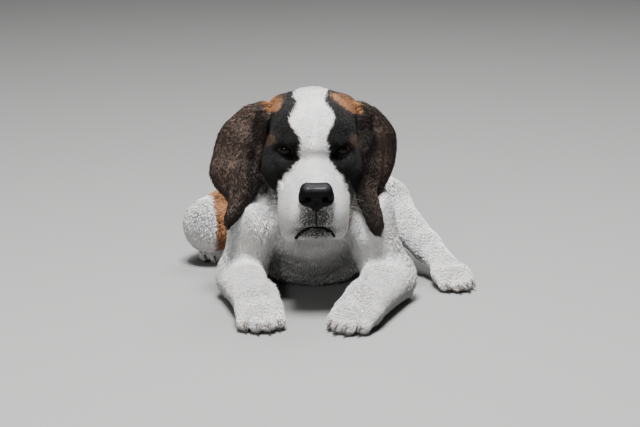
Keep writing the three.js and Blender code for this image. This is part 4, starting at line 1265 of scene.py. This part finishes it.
def whisker_lines():
    """Stiff hairs in rows on both flews."""
    draw = np.random.default_rng(41)
    t = np.linspace(0, 1, 8)[:, None]
    for side in (1, -1):
        for row in range(4):
            for place in range(4):
                root = np.array((side * 60.0, -70 + 9 * place + 2 * row, -40.0 - 6.5 * row))
                way = unit(np.array((-side * 1.0, 0.25, 0.12)))
                for _ in range(60):
                    root = root + way * max(HEAD_BLOCK(*root[:, None])[0] - 0.2, 0) * 0.9
                long = draw.uniform(16, 34) * (0.7 + 0.12 * place)
                back = 0.25 + 0.35 * place + draw.uniform(-0.15, 0.15)
                out = unit(np.array((side * 1.0, back, -0.25 - 0.12 * row)))
                line = root + out * long * t + np.array((0, 0.12, -0.28)) * long * t**2
                yield moved(line, HEAD_MATRIX), WHISKER_RADIUS * (1 - 0.85 * t[:, 0])


# Pieces.

# Grid lines of the skin's mesh across, along and up: stops, and the step between each two of them.
SKIN_GRID = (
    ((-155, -100, -48, -12, 14, 46, 95, 175), (4.6, 2.6, 1.5, 2.2, 1.5, 2.6, 4.6)),
    ((-205, -165, -105, -68, 30, 90, 450), (2.8, 2.05, 1.65, 2.55, 3.8, 5.6)),
    ((-2, 40, 98, 122, 196, 244), (2.7, 2.7, 2.0, 1.55, 2.7)),
)
NOSE_STEP = 0.75

# Name, place, aim, size and share of the large lamp's power.
LAMPS = (
    ("lamp_above", (-0.08, -0.75, 2.2), (0, -0.08, 0.12), 0.7, 1.0),
    ("lamp_front", (-0.7, -2.4, 1.15), (0, -0.1, 0.15), 0.22, 0.1),
    ("lamp_behind", (0.4, 1.0, 2.1), (0, 0, 0.12), 1.2, 0.22),
)
WORLD_LIGHT = 0.03
CAMERA_AIM = (0.0037, -0.150, 0.122)
CAMERA_UP = 13.5
CAMERA_AWAY = 2.333

# The solids' nodes of flesh, which the skin stands for.
LEG_PARTS = ("upper_arm", "forearm", "front_paw", "thigh", "shank", "hind_paw")
FLESH = ["torso", "neck", "head", "jaw", "ear_right", "ear_left", "tail_base", "tail_tip"]
FLESH += [f"{part}_{side}" for side in ("right", "left") for part in LEG_PARTS]


def skin_surface():
    """The whole skin in millimetres: points, quads and its ears' hair flow, way down and paleness."""
    p, quads = netted(skin_field, *[ticks(stops, steps) for stops, steps in SKIN_GRID])
    parts = [(p, quads, np.zeros_like(p), np.zeros(len(p)), np.zeros(len(p)))]
    for side in EARS:
        q, ring, *values = ear_shell(side)
        parts.append((q, ring + sum(len(part[0]) for part in parts), *values))
    return [np.concatenate(values) for values in zip(*parts)]


def point_normals(p, quads):
    n = np.zeros_like(p)
    face = face_crosses(p, quads)
    for k in range(4):
        np.add.at(n, quads[:, k], face)
    return unit(n)


def mouth_share(p):
    """1 on the black lips and in the groove under the nose, and 0 away from them."""
    h = moved(p, HEAD_MATRIX.inverted())
    x, y, z = h.T
    near_jaw = np.abs(JAW_BLOCK(*h.T) + 0.6)
    near_head = np.abs(HEAD_BLOCK(*h.T) + 0.9)
    wide = 3.9 - 1.9 * smooth(10, 22, np.abs(x))
    share = smooth(wide, 0.45 * wide, np.maximum(near_jaw, near_head))
    share = share * smooth(20, -4, y) * smooth(-50, -56, z)
    groove = smooth(1.9, 0.8, np.abs(x)) * smooth(-34, -38, z) * smooth(-60, -66, y) * (z > -62)
    return np.maximum(share, groove)


def coat_share(p):
    """How thickly the coat grows at points of the skin, from 0 to 1."""
    h = moved(p, HEAD_MATRIX.inverted())
    share = np.ones(len(p))
    for side in (1, -1):
        e = moved(h, eye_frame(side).inverted())
        near = np.hypot(e[:, 0] / EYE["open_wide"], e[:, 2] / EYE["open_high"])
        by_eye = (e[:, 1] < 6) & (np.abs(e[:, 1]) < 30)
        share = np.where(by_eye, share * smooth(1.12, 1.5, near), share)
    share *= smooth(0.95, 0.6, mouth_share(p))
    share *= smooth(0.0, 0.7, NOSE_BLOCK(*h.T))
    share *= smooth(1.2, 3, p[:, 2])
    return np.maximum(share, 0)


def under_flaps(p, hair, on_ear):
    """The hair's length, cut short where an ear flap lies over it."""
    flaps = p[on_ear][::5]
    near = np.flatnonzero(~on_ear & (np.abs(p[:, 1] + 60) < 110) & (p[:, 2] > 60))
    gap = np.full(len(p), 99.0)
    for few in np.array_split(near, 40):
        away = ((p[few][:, None] - flaps[None]) ** 2).sum(2)
        gap[few] = np.sqrt(away.min(1))
    return np.where(on_ear, hair, np.minimum(hair, 1.8 + 0.35 * np.maximum(gap - 3, 0)))


class PUPPY_PG_coat(bpy.types.PropertyGroup):
    length: FloatProperty(
        name="Hair length",
        description="Length of the coat against its own",
        default=1.0,
        min=0.2,
        max=2.0,
    )
    seed: IntProperty(name="Seed", description="Changes where the tufts stand", default=7, min=0)
    white: FloatVectorProperty(
        name="White",
        description="White of the blaze, chest and legs",
        subtype="COLOR",
        default=(0.6, 0.597, 0.6),
    )
    tan: FloatVectorProperty(
        name="Tan",
        description="Tan of the mantle and temples",
        subtype="COLOR",
        default=(0.18, 0.075, 0.029),
    )
    dark: FloatVectorProperty(
        name="Dark",
        description="Black of the mask and saddle",
        subtype="COLOR",
        default=(0.0032, 0.0028, 0.0028),
    )
    ear: FloatVectorProperty(
        name="Ears",
        description="Dark brown of the ears",
        subtype="COLOR",
        default=(0.1, 0.068, 0.054),
    )


class PUPPY_PG_face(bpy.types.PropertyGroup):
    iris: FloatVectorProperty(
        name="Iris",
        description="Brown of the irises",
        subtype="COLOR",
        default=(0.005, 0.003, 0.002),
    )
    nose: FloatVectorProperty(
        name="Nose",
        description="Black of the nose and lids",
        subtype="COLOR",
        default=(0.0018, 0.0018, 0.002),
    )
    haw: FloatVectorProperty(
        name="Haw",
        description="Pink of the eyes' inner corners",
        subtype="COLOR",
        default=(0.06, 0.03, 0.026),
    )
    claw: FloatVectorProperty(
        name="Claws",
        description="Horn colour of the claws",
        subtype="COLOR",
        default=(0.14, 0.115, 0.095),
    )


class PUPPY_PG_stage(bpy.types.PropertyGroup):
    floor: FloatVectorProperty(
        name="Floor",
        description="Pale colour of the floor",
        subtype="COLOR",
        default=(0.2, 0.2, 0.197),
    )
    width: FloatProperty(name="Floor width", description="Width of the floor", default=14.0, unit="LENGTH")
    light: FloatProperty(
        name="Light",
        description="Power of the large lamp above",
        default=205.0,
        unit="POWER",
    )


class PUPPY_OT_skin(bpy.types.Operator):
    """Build the skin, with the folds of the face and both ear flaps"""

    bl_idname = "puppy.skin"
    bl_label = "Skin"

    def execute(self, context):
        p, quads, flow, along, tone = skin_surface()
        skin = mesh_object("skin", p, quads)
        values = markings(p, along > 0)
        # The ears' paleness goes into the ear attribute, with its painted fold shade and painted crest
        # highlight.
        values.update({"ear": tone, "lip": mouth_share(p), "flow": flow, "along": along})
        for name in values:
            keep_values(skin.data, name, values[name])
        markings_group()
        grain_group()
        skin.data.materials.append(coat_material("skin", context.scene.puppy_coat, False))
        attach(skin, "root")
        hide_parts(*FLESH)
        return {"FINISHED"}


def read_values(mesh, name, wide):
    values = np.empty(len(mesh.vertices) * wide, np.float32)
    mesh.attributes[name].data.foreach_get("vector" if wide == 3 else "value", values)
    return values.reshape(-1, wide) if wide > 1 else values


class PUPPY_OT_coat(bpy.types.Operator):
    """Stand the coat's tufts on the skin, stretch by stretch"""

    bl_idname = "puppy.coat"
    bl_label = "Coat"

    def execute(self, context):
        coat = context.scene.puppy_coat
        skin = context.scene.objects["skin"].data
        p = np.empty(len(skin.vertices) * 3, np.float32)
        skin.vertices.foreach_get("co", p)
        p = p.reshape(-1, 3).astype(float) / MM
        quads = np.empty(len(skin.loops), np.int32)
        skin.loops.foreach_get("vertex_index", quads)
        quads = quads.reshape(-1, 4)
        along = read_values(skin, "along", 1)
        on_ear = along > 0
        lie, hair = self.hair(skin, p, point_normals(p, quads), along, on_ear)
        thick = coat_share(p)
        labels = stretch_of(p[quads].mean(1), on_ear[quads].all(1))
        areas = 0.5 * np.linalg.norm(face_crosses(p, quads), axis=1) * thick[quads].mean(1)
        tree = coat_tree()
        tuft = tuft_object()
        material = coat_material("coat", coat, True)
        for index, (name, (most, wide, lift, tangle)) in enumerate(STRETCHES.items()):
            faces = quads[(labels == name) & (thick[quads].max(1) > 0)]
            used, inverse = np.unique(faces, return_inverse=True)
            piece = mesh_object(f"coat_{name}", p[used], inverse.reshape(-1, 4))
            for mark in MARKS:
                keep_values(piece.data, mark, read_values(skin, mark, 1)[used])
            keep_values(piece.data, "lie", lie[used])
            keep_values(piece.data, "hair", hair[used] * MM)
            keep_values(piece.data, "thick", thick[used])
            keep_values(piece.data, "wide", np.full(len(used), wide * MM))
            unwrapped(piece)
            modifier = piece.modifiers.new("tufts", "NODES")
            modifier.node_group = tree
            inputs = {"Tuft": tuft, "Length": coat.length, "Lift": lift, "Tangle": tangle, "Coat": material}
            inputs["Spacing"] = math.sqrt(TUFT_PACKING * areas[labels == name].sum() / most) * MM
            inputs["Seed"] = coat.seed + index
            modifier_values(modifier, inputs)
            applied(piece)
            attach(piece, "root")
        bpy.data.objects.remove(tuft)
        return {"FINISHED"}

    def hair(self, skin, p, n, along, on_ear):
        """The lie and the length of the hair at each point, with the ears' own."""
        lie, hair = lie_and_length(p, n)
        flow = read_values(skin, "flow", 3)
        lie[on_ear] = unit(flow[on_ear] - (flow[on_ear] * n[on_ear]).sum(1)[:, None] * n[on_ear])
        hair[on_ear] = 9 - 4 * smooth(0.2, 0.0, along[on_ear]) - 3 * smooth(0.85, 1.0, along[on_ear])
        hair *= 1 - 0.5 * smooth(30, 14, read_values(skin, "speckle", 1))
        return lie, under_flaps(p, hair, on_ear)


def leather(name, colour, rough, wet, bumps, high, plateau=False):
    """Bare, slightly damp skin, for the nose and the lids; with plateau set, the nose's top carries a painted
    highlight.
    """
    material, tree, principled = shader(name, Specular_IOR_Level=0.06, Coat_Weight=wet, Coat_Roughness=0.26)
    place = object_place(tree)
    patchy = noise(tree, place, 90, 3)
    cells = add_node(tree, "ShaderNodeTexVoronoi", {"Vector": place, "Scale": bumps}, feature="SMOOTH_F1")
    tint = mixed(tree, ranged(tree, patchy, 0.3, 0.7), rgba(colour), rgba(scaled(colour, 0.45)))
    # Painted highlight: the nose's top plateau is lightened, as where the light falls on it.
    if plateau:
        top_highlight = calc(tree, "MULTIPLY", attribute(tree, "plateau"), calc(tree, "ADD", patchy, 0.4))
        tint = mixed(tree, top_highlight, tint, rgba(scaled(colour, 9)))
    rough = ranged(tree, patchy, 0.3, 0.7, rough - 0.08, rough + 0.1)
    linked(tree, principled, {"Base Color": tint, "Roughness": rough})
    grain = placed_group(tree, "Fine grain", Place=place, Coarse=500.0, Fine=1600.0).outputs[0]
    height = calc(tree, "MULTIPLY_ADD", cells.outputs["Distance"], -1.6, grain)
    bumped(tree, principled, height, 0.8, high)
    return material


def cornea(angle):
    """The eyeball's radius at an angle from its gaze, against its own: fuller in front."""
    return 1 + 0.055 * float(smooth(42, 26, angle))


class PUPPY_OT_eyes(bpy.types.Operator):
    """Turn both eyeballs, with their corneas, and lay the lids round them"""

    bl_idname = "puppy.eyes"
    bl_label = "Eyes and lids"

    def execute(self, context):
        face = context.scene.puppy_face
        parts, angles, corner = [], [], []
        for side in (1, -1):
            centre = np.array((EYE_X[side], EYE["y"], EYE["z"]))
            gaze = unit(np.array((-0.04 * side, -1, 0.02)))
            p, faces = revolved_ball(centre, EYE["radius"] * BALL_SHARE, gaze, 40, 56, cornea)
            parts.append((moved(p, HEAD_MATRIX), faces))
            angles.append(np.degrees(np.arccos(np.clip(unit(p - centre) @ gaze, -1, 1))))
            inner = moved(np.array([(-side * EYE["open_wide"] * 0.98, -6.4, -0.6)]), eye_frame(side))[0]
            corner.append(np.linalg.norm(p - inner, axis=1))
        balls = closed_object("eyeballs", parts)
        keep_values(balls.data, "gaze", np.concatenate(angles))
        keep_values(balls.data, "corner", np.concatenate(corner))
        balls.data.materials.append(self.eyeball(face))
        both = [lid_rings(side) for side in (1, -1)]
        lids = closed_object("lids", [(p, faces) for p, faces, _ in both])
        keep_values(lids.data, "rim", np.concatenate([rim for _, _, rim in both]))
        lids.data.materials.append(leather("lid_skin", scaled(face.nose, 3), 0.36, 0.3, 700, 0.0002))
        for piece, slot in ((balls, "eyeball"), (lids, "nose_skin")):
            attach(piece, "root")
        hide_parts("eye_right", "eye_left")
        return {"FINISHED"}

    def eyeball(self, face):
        """Pupil, iris, its dark edge, the white and the haw, by the angle from the gaze."""
        material, tree, principled = shader("eyeball", Roughness=0.05, Specular_IOR_Level=0.2)
        gaze = attribute(tree, "gaze")
        place = object_place(tree)
        rays = ranged(tree, noise(tree, place, 700, 3), 0.35, 0.7)
        iris = mixed(tree, rays, rgba(face.iris), rgba(scaled(face.iris, 2.4)))
        white = mixed(tree, noise(tree, place, 300, 2), (0.05, 0.035, 0.03, 1), (0.12, 0.09, 0.08, 1))
        colour = mixed(tree, ranged(tree, gaze, 17.0, 20.0), (0.001, 0.001, 0.001, 1), iris)
        colour = mixed(tree, ranged(tree, gaze, 33.0, 37.0), colour, (0.004, 0.003, 0.003, 1))
        colour = mixed(tree, ranged(tree, gaze, 40.0, 46.0), colour, white)
        colour = mixed(tree, ranged(tree, attribute(tree, "corner"), 3.2, 1.4), colour, rgba(face.haw))
        linked(tree, principled, {"Base Color": colour})
        bumped(tree, principled, noise(tree, place, 500, 2), 0.05, 0.0001)
        return material


class PUPPY_OT_nose(bpy.types.Operator):
    """Shape the nose, with its nostrils and groove"""

    bl_idname = "puppy.nose"
    bl_label = "Nose"

    def execute(self, context):
        box = [np.arange(low, high, NOSE_STEP) for low, high in ((-25, 25.1), (-82, -50), (-47, -8))]
        p, quads = netted(nose_surface, *box)
        nose = mesh_object("nose_leather", moved(p, HEAD_MATRIX), quads)
        # The plateau share marks the nose's top, where the painted highlight lies.
        keep_values(nose.data, "plateau", smooth(-19, -13.5, p[:, 2] - 0.3 * (p[:, 1] + 76)))
        black = context.scene.puppy_face.nose
        nose.data.materials.append(leather("nose_leather", black, 0.5, 0.07, 780, 0.0005, True))
        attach(nose, "root")
        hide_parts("nose")
        return {"FINISHED"}


class PUPPY_OT_claws(bpy.types.Operator):
    """Set the claws in the toes"""

    bl_idname = "puppy.claws"
    bl_label = "Claws"

    def execute(self, context):
        claws = closed_object("claws", [tube(line, radii, 10) for line, radii in claw_lines()])
        colour = context.scene.puppy_face.claw
        material, tree, principled = shader("claw_horn", Specular_IOR_Level=0.5)
        streaks = noise(tree, object_place(tree), 260, 3)
        tint = mixed(tree, streaks, rgba(scaled(colour, 0.35)), rgba(colour))
        linked(tree, principled, {"Base Color": tint, "Roughness": ranged(tree, streaks, 0.3, 0.7, 0.3, 0.5)})
        bumped(tree, principled, streaks, 0.3, 0.0003)
        claws.data.materials.append(material)
        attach(claws, "root")
        return {"FINISHED"}


class PUPPY_OT_whiskers(bpy.types.Operator):
    """Root the whiskers in the flews"""

    bl_idname = "puppy.whiskers"
    bl_label = "Whiskers"

    def execute(self, context):
        whiskers = closed_object("whiskers", [tube(line, radii, 5) for line, radii in whisker_lines()])
        material, tree, principled = shader("whisker", Specular_IOR_Level=0.4)
        streaks = noise(tree, object_place(tree), 60, 2)
        tint = mixed(tree, ranged(tree, streaks, 0.4, 0.6), (0.6, 0.58, 0.54, 1), (0.25, 0.22, 0.2, 1))
        rough = ranged(tree, streaks, 0.3, 0.7, 0.35, 0.55)
        linked(tree, principled, {"Base Color": tint, "Roughness": rough})
        bumped(tree, principled, streaks, 0.1, 0.0001)
        whiskers.data.materials.append(material)
        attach(whiskers, "root")
        return {"FINISHED"}


class PUPPY_OT_stage(bpy.types.Operator):
    """Lay the floor, hang the lamps and set the camera"""

    bl_idname = "puppy.stage"
    bl_label = "Stage"

    def execute(self, context):
        stage = context.scene.puppy_stage
        half = stage.width / 2 / MM
        corners = [(-half, -half, 0), (half, -half, 0), (half, half, 0), (-half, half, 0)]
        floor = mesh_object("floor", corners, [(0, 1, 2, 3)])
        material = shader("floor", Roughness=0.85, Base_Color=rgba(stage.floor))[0]
        floor.data.materials.append(material)
        for name, at, aim, size, share in LAMPS:
            lamp = bpy.data.lights.new(name, "AREA")
            lamp.size = size
            lamp.energy = stage.light * share
            self.aimed(context, bpy.data.objects.new(name, lamp), Vector(at), Vector(aim))
        world = bpy.data.worlds.new("studio")
        world.use_nodes = True
        background = world.node_tree.nodes["Background"]
        background.inputs[0].default_value = (0.9, 0.93, 1.0, 1)
        background.inputs[1].default_value = WORLD_LIGHT
        context.scene.world = world
        lens = bpy.data.cameras.new("camera")
        lens.lens = 125
        lens.sensor_width = 36
        camera = bpy.data.objects.new("camera", lens)
        up = math.radians(CAMERA_UP)
        away = Vector((0, -math.cos(up), math.sin(up))) * CAMERA_AWAY
        self.aimed(context, camera, Vector(CAMERA_AIM) + away, Vector(CAMERA_AIM))
        context.scene.camera = camera
        return {"FINISHED"}

    def aimed(self, context, obj, at, aim):
        """Puts a lamp or the camera in the scene, looking at a point."""
        obj.location = at
        obj.rotation_euler = (aim - at).to_track_quat("-Z", "Y").to_euler()
        context.scene.collection.objects.link(obj)


PIECES = (
    PUPPY_OT_skin,
    PUPPY_OT_coat,
    PUPPY_OT_eyes,
    PUPPY_OT_nose,
    PUPPY_OT_claws,
    PUPPY_OT_whiskers,
    PUPPY_OT_stage,
)


class PUPPY_PT_pieces(bpy.types.Panel):
    """The puppy's pieces and settings"""

    bl_idname = "PUPPY_PT_pieces"
    bl_label = "Saint Bernard puppy"
    bl_space_type = "VIEW_3D"
    bl_region_type = "UI"
    bl_category = "Puppy"

    def draw(self, context):
        for settings in (context.scene.puppy_coat, context.scene.puppy_face, context.scene.puppy_stage):
            box = self.layout.box()
            for name in settings.__annotations__:
                box.prop(settings, name)
        for piece in PIECES:
            self.layout.operator(piece.bl_idname)


CLASSES = (PUPPY_PG_coat, PUPPY_PG_face, PUPPY_PG_stage, *PIECES, PUPPY_PT_pieces)


def register():
    for each in CLASSES:
        bpy.utils.register_class(each)
    bpy.types.Scene.puppy_coat = PointerProperty(type=PUPPY_PG_coat)
    bpy.types.Scene.puppy_face = PointerProperty(type=PUPPY_PG_face)
    bpy.types.Scene.puppy_stage = PointerProperty(type=PUPPY_PG_stage)


def unregister():
    del bpy.types.Scene.puppy_stage
    del bpy.types.Scene.puppy_face
    del bpy.types.Scene.puppy_coat
    for each in reversed(CLASSES):
        bpy.utils.unregister_class(each)


def main():
    register()
    for piece in PIECES:
        group, name = piece.bl_idname.split(".")
        getattr(getattr(bpy.ops, group), name)()


if __name__ == "__main__":
    main()
